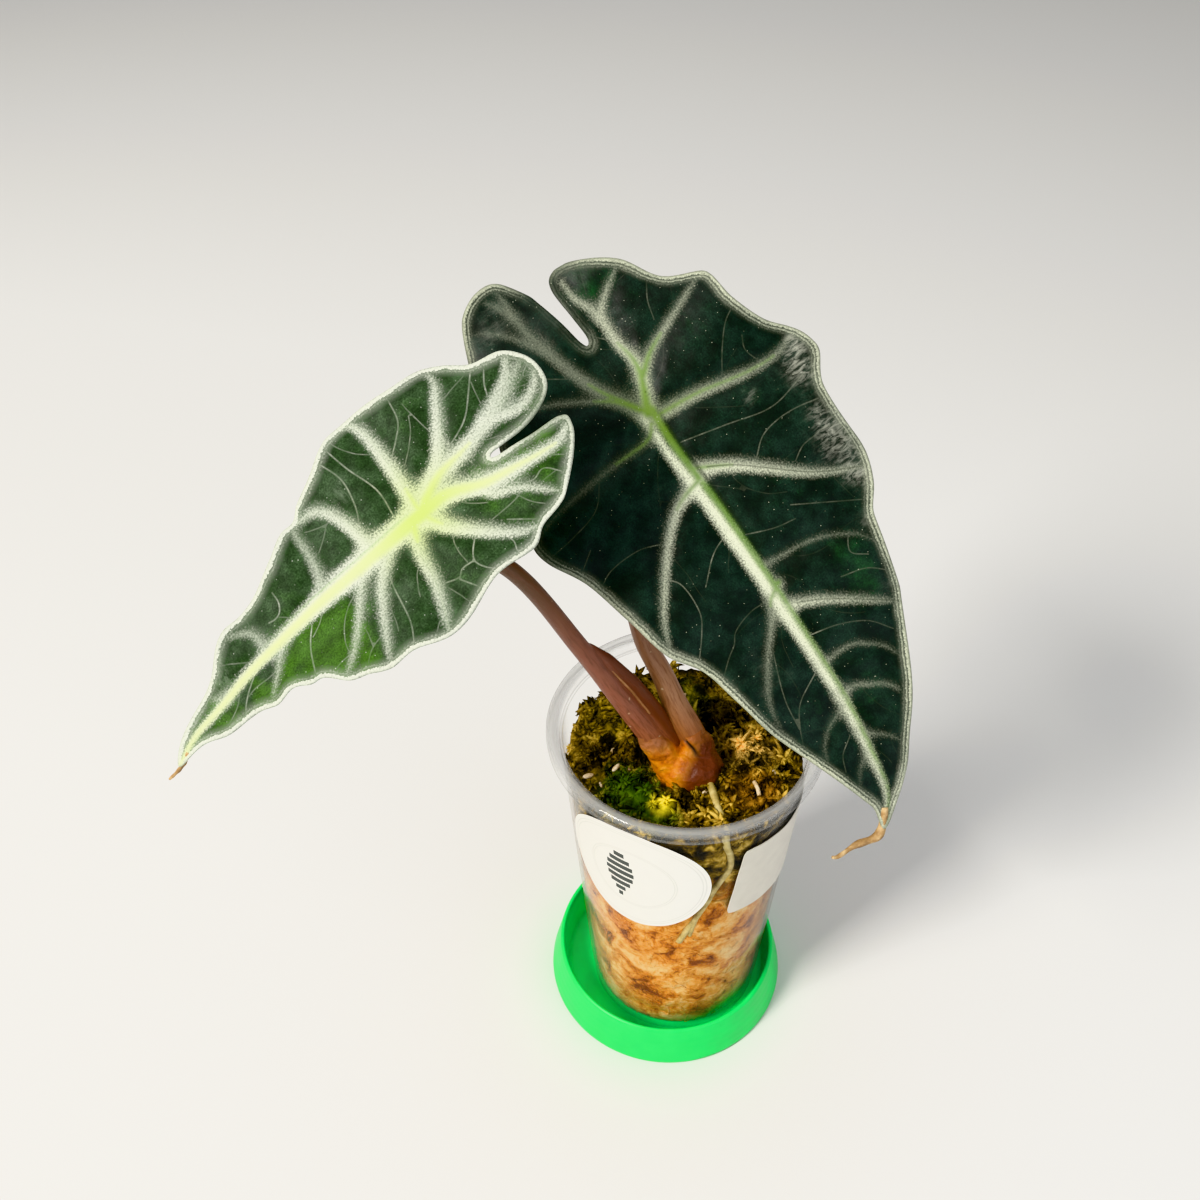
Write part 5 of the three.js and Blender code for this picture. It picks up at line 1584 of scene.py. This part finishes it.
@dataclass
class Label:
    """A paper label that follows the cup's wall."""

    name: str  # Name of the solid that it replaces.
    cup: Cup
    angle: float  # Where its centre lies round the cup, in degrees from the front.
    z: float
    half: Place  # Half its width and half its height.
    round: bool
    tilt: float  # How far it is turned, in degrees.
    finish: PrintedPaper

    def build(self) -> None:
        """Builds and dresses the label."""
        spokes, rings, corner = 96, 24, 26
        edge = []
        for i in range(spokes):
            turn = 2 * math.pi * i / spokes
            x, y = math.cos(turn), math.sin(turn)
            if not self.round:
                # A rectangle with corners rounded by about a millimetre and a half.
                scale = (abs(x) ** corner + abs(y) ** corner) ** (-1 / corner)
                x, y = x * scale, y * scale
            edge.append((x * self.half[0], y * self.half[1]))
        plane = np.vstack([[(0.0, 0.0)], *(np.array(edge) * k / rings for k in range(1, rings + 1))])
        turn = math.radians(self.tilt)
        tilted = plane @ np.array([[math.cos(turn), math.sin(turn)], [-math.sin(turn), math.cos(turn)]])
        height = self.z + tilted[:, 1]
        around = math.radians(self.angle) + tilted[:, 0] / self.cup.outer_radius(self.z)
        ripple = 0.05 * np.sin(plane[:, 0] * 0.5) * np.sin(plane[:, 1] * 0.4)
        layers = []
        for lift in (0.62, 0.36):
            radius = self.cup.outer_radius(height) + lift + ripple
            x = self.cup.centre_x + radius * np.sin(around)
            layers.append(np.column_stack([x, -radius * np.cos(around), height]))
        count, rim = len(plane), 1 + (rings - 1) * spokes
        quads = [face for low in range(1, rim, spokes) for face in ring_faces(low, low + spokes, spokes)]
        faces = [(0, 1 + i, 1 + (i + 1) % spokes) for i in range(spokes)]
        faces += [(a, d, c, b) for a, b, c, d in quads]
        faces += [tuple(count + i for i in reversed(face)) for face in faces]
        faces += [(a, d, c, b) for a, b, c, d in ring_faces(rim, count + rim, spokes)]
        piece = make_mesh(f"{self.name}_paper", np.vstack(layers), faces, CREASE)
        store_uv(piece, "label", np.vstack([plane, plane]) / 100)
        finish_piece(piece, "paper", self.finish.build(), self.name)


@dataclass
class Stand:
    """The round green stand with its recess."""

    # Radius and height of each corner of its section, up the outside and down the recess.
    section: Places = (
        (0, 0), (45.4, 0), (46.0, 0.25), (46.3, 0.9), (46.2, 2.0), (42.9, 16.6), (42.7, 17.3), (42.3, 17.8),
        (41.8, 18.0), (41.4, 17.9), (41.1, 17.5), (40.9, 16.6), (39.6, 4.4), (39.3, 3.5), (38.6, 3.05),
        (37.8, 3.0), (0, 3.0),
    )

    def build(self) -> None:
        """Builds and dresses the stand."""
        piece = make_mesh("stand_body", *lathe(self.section), CREASE)
        finish_piece(piece, "stand", MouldedPlastic().build(), "stand")


# Moss and root


@dataclass
class MossBed:
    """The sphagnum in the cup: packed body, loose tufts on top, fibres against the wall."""

    cup: Cup
    top: float = 131.6  # Mean height of its surface.
    gap: float = 0.35  # Distance from the cup's inner wall.
    tufts: float = 62_000.0  # On a square metre of the top.
    strands: float = 30_000.0  # On a square metre of the top.
    fibres: float = 62_000.0  # On a square metre of the side.
    seed: int = 7
    # Place, radius and depth of each hollow in its surface.
    pits: Blobs = (
        (17, 2, 5, 6), (13, 10, 4, 4), (-10, 9, 6, 4), (-22, -2, 4, 2.5), (12, -22, 4, 3), (24, 12, 5, 3),
        (-12, -8, 4, 3), (6, -31, 4, 2),
    )

    def inner_radius(self, z: float | Array) -> float | Array:
        """Gives the radius that the moss fills at a height."""
        return self.cup.outer_radius(z) - self.cup.wall - self.gap

    def surface_height(self, places: Array) -> Array:
        """Gives the height of the moss's surface.

        Args:
            places: Flat points, one a row.

        Returns:
            One height a place.
        """
        lumps = fractal(places, 11, 3.0, 4) * 3.4 + np.abs(fractal(places, 6, 8.0, 3)) * 2.6
        height = self.top + lumps - 0.6
        for x, y, radius, depth in self.pits:
            height -= depth * np.exp(-((places[:, 0] - x) ** 2 + (places[:, 1] - y) ** 2) / radius**2)
        return height

    def body(self) -> Piece:
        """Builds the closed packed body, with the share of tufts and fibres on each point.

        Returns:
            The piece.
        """
        spokes, rings, levels = 150, 42, 70
        turn = np.arange(spokes) * 2 * math.pi / spokes
        ring = np.column_stack([np.cos(turn), np.sin(turn)])
        rows = []
        floor, rim_z = self.cup.base_z + 3.2, self.top - 1.2
        for k in range(levels + 1):
            z = floor + (rim_z - floor) * k / levels
            around = np.column_stack([ring * self.inner_radius(z), np.full(spokes, z)])
            dent = np.clip(fractal(around, 7, 5.0, 4) * 1.3, 0, 1.3) if k else 0.4
            around[:, :2] *= np.reshape(1 - dent / self.inner_radius(z), (-1, 1))
            rows.append(around)
        for k in range(1, rings):
            flat = ring * self.inner_radius(rim_z) * (1 - k / rings)
            height = self.surface_height(flat + (self.cup.centre_x, 0))
            blend = min(1.0, k / 3)
            rows.append(np.column_stack([flat, height * blend + rim_z * (1 - blend)]))
        places = np.vstack([*rows, [[0, 0, self.top]], [[0, 0, floor]]])
        places[:, 0] += self.cup.centre_x
        last = (len(rows) - 1) * spokes
        peak, base = len(places) - 2, len(places) - 1
        faces = [face for low in range(0, last, spokes) for face in ring_faces(low, low + spokes, spokes)]
        faces += [(last + i, last + (i + 1) % spokes, peak) for i in range(spokes)]
        faces += [((i + 1) % spokes, i, base) for i in range(spokes)]
        piece = make_mesh("moss_body", places, faces)
        self.make_way(piece)
        index = np.arange(len(places))
        under_corm = np.hypot(places[:, 0] - 3, places[:, 1] + 8) < 9.5
        on_top = (index > (levels + 1) * spokes) & (index != base) & ~under_corm
        on_side = index <= levels * spokes
        store(
            piece, on_top=on_top.astype(float), on_side=on_side.astype(float),
            tint=np.full(len(places), 0.12),
        )
        return piece

    def tuft(self, rng: np.random.Generator) -> Mesh:
        """Makes the head of one shoot: a dozen plump pointed branches, about 6 mm across.

        Args:
            rng: Source of its random turns.

        Returns:
            Points and faces.
        """
        parts = []
        for k in range(13):
            turn = 2.4 * k + rng.uniform(-0.3, 0.3)
            out = np.array((math.cos(turn), math.sin(turn), 0))
            length = rng.uniform(1.4, 3.4) * (0.55 + 0.45 * (k < 9))
            rise = rng.uniform(0.6, 1.7)
            share = np.linspace(0, 1, 5)[:, None]
            path = out * length * share + np.array((0, 0, 1)) * (rise * share - 1.9 * share**2 * (k < 9))
            path = path + np.array((0, 0, 0.09 * k))
            parts.append(tube(path, np.array((0.25, 0.5, 0.46, 0.27, 0.04)), 3))
        return joined(parts)

    def fibre(self, rng: np.random.Generator, width: float = 1.0) -> Mesh:
        """Makes one curled fibre, 5 to 9 mm long, that lies on the surface.

        Args:
            rng: Source of its random turns.
            width: How many times the usual width it has.

        Returns:
            Points and faces.
        """
        knots = [np.zeros(3)]
        heading = rng.uniform(0, 2 * math.pi)
        for _ in range(4):
            heading += rng.normal(0, 0.55)
            step = np.array((math.cos(heading), math.sin(heading), rng.normal(0, 0.12)))
            knots.append(knots[-1] + step * rng.uniform(1.2, 2.2))
        path = smooth_path(knots, 0.9)
        path -= path.mean(0)
        radii = width * rng.uniform(0.12, 0.24) * (1 - 0.6 * np.linspace(-1, 1, len(path)) ** 2)
        return tube(path, radii, 3)

    def scatter_tree(self, name: str, material: Material) -> bpy.types.GeometryNodeTree:
        """Builds the tree that scatters templates over a surface.

        Args:
            name: Name of the tree.
            material: Finish of the scattered pieces.

        Returns:
            The tree, with named inputs.
        """
        tree = bpy.data.node_groups.new(name, "GeometryNodeTree")
        add = partial(add_node, tree)
        for kind, keys in (
            ("Geometry", ("Surface",)), ("Collection", ("Templates",)),
            ("Float", ("Where", "Density", "Smallest", "Largest", "Lean")), ("Int", ("Seed",)),
        ):
            for key in keys:
                tree.interface.new_socket(key, in_out="INPUT", socket_type=f"NodeSocket{kind}")
        tree.interface.new_socket("Scattered", in_out="OUTPUT", socket_type="NodeSocketGeometry")
        given = add("NodeGroupInput").node.outputs
        lean, seed = given["Lean"], given["Seed"]
        density = add("Math", (given["Where"], given["Density"]), "MULTIPLY")
        points = add(
            "GeometryNodeDistributePointsOnFaces",
            {"Mesh": given["Surface"], "Density": density, "Seed": seed},
        ).node.outputs
        least = add("Math", (lean, -1.0), "MULTIPLY")
        low, high = (add("CombineXYZ", end) for end in ((least, least, -3.1416), (lean, lean, 3.1416)))
        spin = add("FunctionNodeRandomValue", {0: low, 1: high, "Seed": seed}, data_type="FLOAT_VECTOR")
        turned = add(
            "FunctionNodeRotateRotation", {"Rotation": points["Rotation"], "Rotate By": spin},
            rotation_space="LOCAL",
        )
        size, tint = (
            add("FunctionNodeRandomValue", {2: low, 3: high, "Seed": start}, output=1, data_type="FLOAT")
            for low, high, start in ((given["Smallest"], given["Largest"], seed), (-0.35, 1.0, 3))
        )
        templates = add(
            "GeometryNodeCollectionInfo",
            {"Collection": given["Templates"], "Separate Children": True, "Reset Children": True},
        )
        placed = add("GeometryNodeInstanceOnPoints", {
            "Points": points["Points"], "Instance": templates, "Pick Instance": True,
            "Rotation": turned, "Scale": size,
        })
        tinted = add(
            "GeometryNodeStoreNamedAttribute", {"Geometry": placed, "Name": "tint", "Value": tint},
            data_type="FLOAT", domain="INSTANCE",
        )
        real = add("GeometryNodeRealizeInstances", {"Geometry": tinted})
        dressed = add("GeometryNodeSetMaterial", {"Geometry": real, "Material": material})
        add("NodeGroupOutput", {"Scattered": dressed})
        return tree

    def scatter(
        self, surface: Piece, material: Material, name: str, meshes: Sequence[Mesh], where: str,
        density: float, sizes: Place, lean: float,
    ) -> Piece:
        """Scatters copies of small meshes over a surface and turns them into one plain mesh.

        Args:
            surface: The surface.
            material: Finish of the copies.
            name: Name of the new piece.
            meshes: Templates in millimetres.
            where: Attribute of the surface that holds the share of copies.
            density: Copies on a square metre.
            sizes: Smallest and largest scale.
            lean: How far a copy leans from the normal, in radians.

        Returns:
            The new piece.
        """
        collection = bpy.data.collections.new(f"{name} templates")
        bpy.context.scene.collection.children.link(collection)
        for index, mesh in enumerate(meshes):
            template = make_mesh(f"{name}_template_{index}", *mesh)
            bpy.context.scene.collection.objects.unlink(template)
            collection.objects.link(template)
        piece = new_object(name, surface.data.copy())
        modifier = piece.modifiers.new("scatter", "NODES")
        modifier.node_group = self.scatter_tree(f"{name} scatter", material)
        values = {
            "Templates": collection, "Density": density, "Smallest": sizes[0], "Largest": sizes[1],
            "Lean": lean, "Seed": self.seed,
        }
        for socket in modifier.node_group.interface.items_tree:
            if socket.name in values:
                modifier[socket.identifier] = values[socket.name]
            elif socket.name == "Where":
                modifier[f"{socket.identifier}_use_attribute"] = True
                modifier[f"{socket.identifier}_attribute_name"] = where
        baked(piece)
        for template in list(collection.objects):
            bpy.data.objects.remove(template)
        bpy.data.collections.remove(collection)
        return piece

    def bits(self) -> Piece:
        """Builds the loose husks and the short stick that lie on the moss.

        Returns:
            The piece.
        """
        ovals = (
            (-28.6, -14.0, 2.0, 0.3), (-19.3, -11.5, 1.9, 0.9), (-16.6, -10.8, 2.3, 0.1),
            (-21.4, -1.9, 1.7, 1.2), (10.9, -17.4, 1.6, 0.5), (18.7, -2.3, 2.2, 1.3),
            (33.5, -9.0, 1.5, 2.2), (-24.0, -17.0, 1.2, 2.0), (29.0, 9.0, 1.6, 0.4),
            (2.0, 24.0, 1.7, 1.0), (-18.0, 19.0, 1.8, 2.6), (22.0, 24.0, 1.4, 0.2),
        )
        parts = []
        for x, y, size, turn in ovals:
            z = float(self.surface_height(np.array([[x, y]]))[0]) + 1.2
            half = np.array((math.cos(turn), math.sin(turn), 0.15)) * size
            share = np.linspace(-1, 1, 9)
            path = np.array((x, y, z)) + half * share[:, None]
            radii = 0.72 * size * 0.62 * np.sqrt(np.clip(1 - share**2, 0.02, 1))
            parts.append(tube(path, radii, 10))
        stick = smooth_path(((27.2, -13.8, 134.6), (28.2, -16.5, 135.1), (28.9, -19.6, 134.9)), 0.8)
        parts.append(tube(stick, np.full(len(stick), 0.7), 8))
        return make_mesh("moss_bits", *joined(parts))

    def build(self) -> None:
        """Builds and dresses the moss."""
        rng = np.random.default_rng(self.seed)
        material = Sphagnum().build()
        body = self.body()
        layers = (
            ("moss_tufts", [self.tuft(rng) for _ in range(5)], "on_top", self.tufts, (0.7, 2.1), 0.6),
            ("moss_strands", [self.fibre(rng) for _ in range(6)], "on_top", self.strands, (0.6, 1.1), 0.5),
            ("moss_fibres", [self.fibre(rng, 1.7) for _ in range(6)], "on_side", self.fibres, (0.6, 1.1),
             0.05),
        )
        pieces = [self.scatter(body, material, *layer) for layer in layers]
        finish_piece(body, "moss", material, "moss")
        for piece in pieces:
            self.keep_inside(piece)
            if piece.name == "moss_fibres":
                self.make_way(piece)
            finish_piece(piece, "moss", None)
        finish_piece(self.bits(), "moss", STRAW_BITS.build())

    def keep_inside(self, piece: Piece) -> None:
        """Pulls a piece's points in, so that none reaches the cup's wall.

        Args:
            piece: The piece.
        """
        places = mesh_places(piece)
        centre = np.array((self.cup.centre_x, 0))
        offset = places[:, :2] - centre
        radius = np.linalg.norm(offset, axis=1)
        limit = self.inner_radius(np.clip(places[:, 2], 6, 140)) + 0.2
        scale = np.minimum(1, limit / np.maximum(radius, 1e-6))
        places[:, :2] = centre + offset * scale[:, None]
        places[:, 2] = np.maximum(places[:, 2], self.cup.base_z + 3.0)
        move_points(piece, places)

    def make_way(self, piece: Piece) -> None:
        """Pushes a piece's points back from the wall where the root runs.

        Args:
            piece: The piece.
        """
        places = mesh_places(piece)
        clearance, wall_radius = 2.6, 38
        gap = path_gap(places, smooth_path(Root(self).points(), 1.5))
        push = np.clip(clearance - gap, 0, 2.4) / wall_radius
        places[:, :2] -= (places[:, :2] - (self.cup.centre_x, 0)) * push[:, None]
        move_points(piece, places)


@dataclass
class Root:
    """The pale root that leaves the corm and runs down inside the front of the wall."""

    moss: MossBed
    # Points over the moss.
    start: Spots = ((10, -9, 131), (12.6, -15, 133.2), (15.6, -25.8, 134), (18, -32.5, 133.2))
    # Angle and height of each point against the wall.
    wall: Places = (
        (22.5, 129.5), (25.5, 122), (26.2, 115), (19, 102), (13.8, 90.8), (6.5, 77), (2.5, 69),
    )
    radius: float = 1.35
    # Angle and height of each point of its branch.
    strand: Places = ((19.5, 106), (13.8, 93), (10.2, 82), (8.3, 74))
    strand_radius: float = 0.9
    gap: float = 0.08  # Distance from the wall.

    def on_wall(self, places: Sequence[Place], radius: float) -> list[Spot]:
        """Turns angles and heights into points against the inner wall.

        Args:
            places: Angle in degrees from the front, and height, of each point.
            radius: Radius of what runs there.

        Returns:
            The points.
        """
        cup, found = self.moss.cup, []
        for angle, z in places:
            turn = math.radians(angle)
            reach = cup.outer_radius(z) - cup.wall - radius - self.gap
            found.append((cup.centre_x + reach * math.sin(turn), -reach * math.cos(turn), z))
        return found

    def points(self) -> list[Spot]:
        """Gives the points that the main root runs through."""
        return [*self.start, *self.on_wall(self.wall, self.radius)]

    def build(self) -> None:
        """Builds and dresses the root and its branch."""
        parts = []
        branch = self.on_wall(self.strand, self.strand_radius)
        for knots, radius in ((self.points(), self.radius), (branch, self.strand_radius)):
            path = smooth_path(knots, 0.7)
            share = np.linspace(0, 1, len(path))
            knobs = 1 + 0.1 * np.sin(share * 47) * np.sin(share * 19 + 1)
            parts.append(tube(path, radius * (1 - 0.15 * share) * knobs, 14))
        piece = make_mesh("root_pale", *joined(parts))
        finish_piece(piece, "root", ROOT_SKIN.build(), "root_front")


# Studio


@dataclass
class Studio:
    """The plain pale floor, the soft lights and the camera."""

    focal: float = 1300.0  # Focal length in pixels of a frame 1200 wide.
    eye: Spot = (3.5, -293.7, 476.05)  # Where the camera stands. Three directions follow.
    right: Spot = (0.99611051, 0.08753897, -0.01003848)
    down: Spot = (0.05235988, -0.67970341, -0.73161583)
    forward: Spot = (-0.07086808, 0.72824461, -0.68164324)
    aim: Spot = (0, -10, 180)  # What the lights point at, in millimetres.
    # Name, place in millimetres, side in metres, watts and colour of each.
    lights: tuple[tuple[str, Spot, float, float, str], ...] = (
        ("key", (-1040, -850, 1380), 0.55, 46, "#FFFBF4"),
        ("sky", (0, 250, 1750), 1.6, 13, "#FFFFFF"),
        ("fill", (520, -560, 420), 0.7, 3.2, "#F4F8FF"),
    )

    def camera(self) -> None:
        """Places the camera where the photograph was taken from."""
        data = bpy.data.cameras.new("photo view")
        data.sensor_width = 36.0
        data.lens = 36.0 * self.focal / 1200
        data.clip_start = 0.01
        camera = new_object("photo view", data)
        camera.matrix_world = Matrix([
            *((right, -down, -forward, eye * MM) for right, down, forward, eye in
              zip(self.right, self.down, self.forward, self.eye)),
            (0, 0, 0, 1),
        ])
        bpy.context.scene.camera = camera

    def floor(self) -> None:
        """Lays the pale floor."""
        bpy.ops.mesh.primitive_plane_add(size=6.0)
        plane = bpy.context.active_object
        plane.name = "floor"
        material, shader, _ = blank_material("pale floor")
        fill(shader, {"Base Color": linear("#D9D8D5"), "Roughness": 0.9})
        plane.data.materials.append(material)

    def light(self) -> None:
        """Hangs the soft square lights and sets the soft surround."""
        for name, place, size, power, colour in self.lights:
            data = bpy.data.lights.new(name, "AREA")
            data.size, data.energy, data.color = size, power, linear(colour)[:3]
            lamp = new_object(name, data)
            lamp.location = Vector(place) * MM
            lamp.rotation_euler = (Vector(self.aim) - Vector(place)).to_track_quat("-Z", "Y").to_euler()
        world = bpy.data.worlds.new("soft surround")
        bpy.context.scene.world = world
        world.use_nodes = True
        fill(world.node_tree.nodes["Background"], {"Color": linear("#E6E8EA"), "Strength": 0.27})

    def build(self) -> None:
        """Sets up the studio."""
        self.camera()
        self.floor()
        self.light()
        # A neutral view keeps the plant's greens and the stand's green as they are.
        bpy.context.scene.view_settings.view_transform = "Khronos PBR Neutral"


def main() -> None:
    """Builds the whole plant round the loaded solids."""
    logging.basicConfig(level=logging.INFO, format="%(name)s %(message)s")
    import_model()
    Studio().build()
    cup = Cup()
    moss = MossBed(cup)
    Stand().build()
    cup.build()
    moss.build()
    Root(moss).build()
    Corm().build()
    Stalk(
        "petiole_left", LEFT_LEAF, LEFT_STALK_SKIN,
        ((-1.8, -6, 136), (-4.2, -7.1, 142), (-8.6, -9, 151), (-17.2, -12.9, 170), (-29.5, -19, 199),
         (-46, -27.2, 235), (-60, -31.5, 250)),
        (3.9, 4.1, 3.5, 3.1, 2.9, 2.7, 2.6, 2.4, 2.5), fold=True,
    ).build()
    Stalk(
        "petiole_right", RIGHT_LEAF, RIGHT_STALK_SKIN,
        ((7.6, -3.6, 136), (6.4, -3.1, 142), (0.2, -1.8, 156), (-5.2, 0, 170), (-11.3, 1.2, 184),
         (-15.8, 5, 205), (-17, 11, 228), (-15.2, 18, 247)),
        (4.9, 4.7, 3.9, 3.4, 3.2, 3.1, 3, 2.8, 2.7, 2.8),
    ).build()
    Blade("blade_left", LEFT_LEAF, LeafTone.MOTTLED, spacing=0.7).build()
    Blade("blade_right", RIGHT_LEAF, LeafTone.DARK, spacing=0.95).build()
    round_paper = PrintedPaper(
        "printed label paper", "#F4F2EA", rings=(25.9, 24.8, 16.2, 15.4),
        bars=tuple(
            (-4, 12 - 3.4 * k, half, 1.3) for k, half in enumerate((2.0, 3.9, 5.0, 5.4, 5.0, 3.9, 2.0, 0.9))
        ),
    )
    Label("label_round", cup, -23, 108.5, (27.5, 27.5), True, 0, round_paper).build()
    # Its off-white paper is darkened with painted shade of the light's falloff.
    square_paper_in_painted_shade = PrintedPaper("bare label paper", "#D0CBBE")
    Label("label_square", cup, 68.5, 104.5, (28, 19), False, -5, square_paper_in_painted_shade).build()
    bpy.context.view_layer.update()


if __name__ == "__main__":
    main()
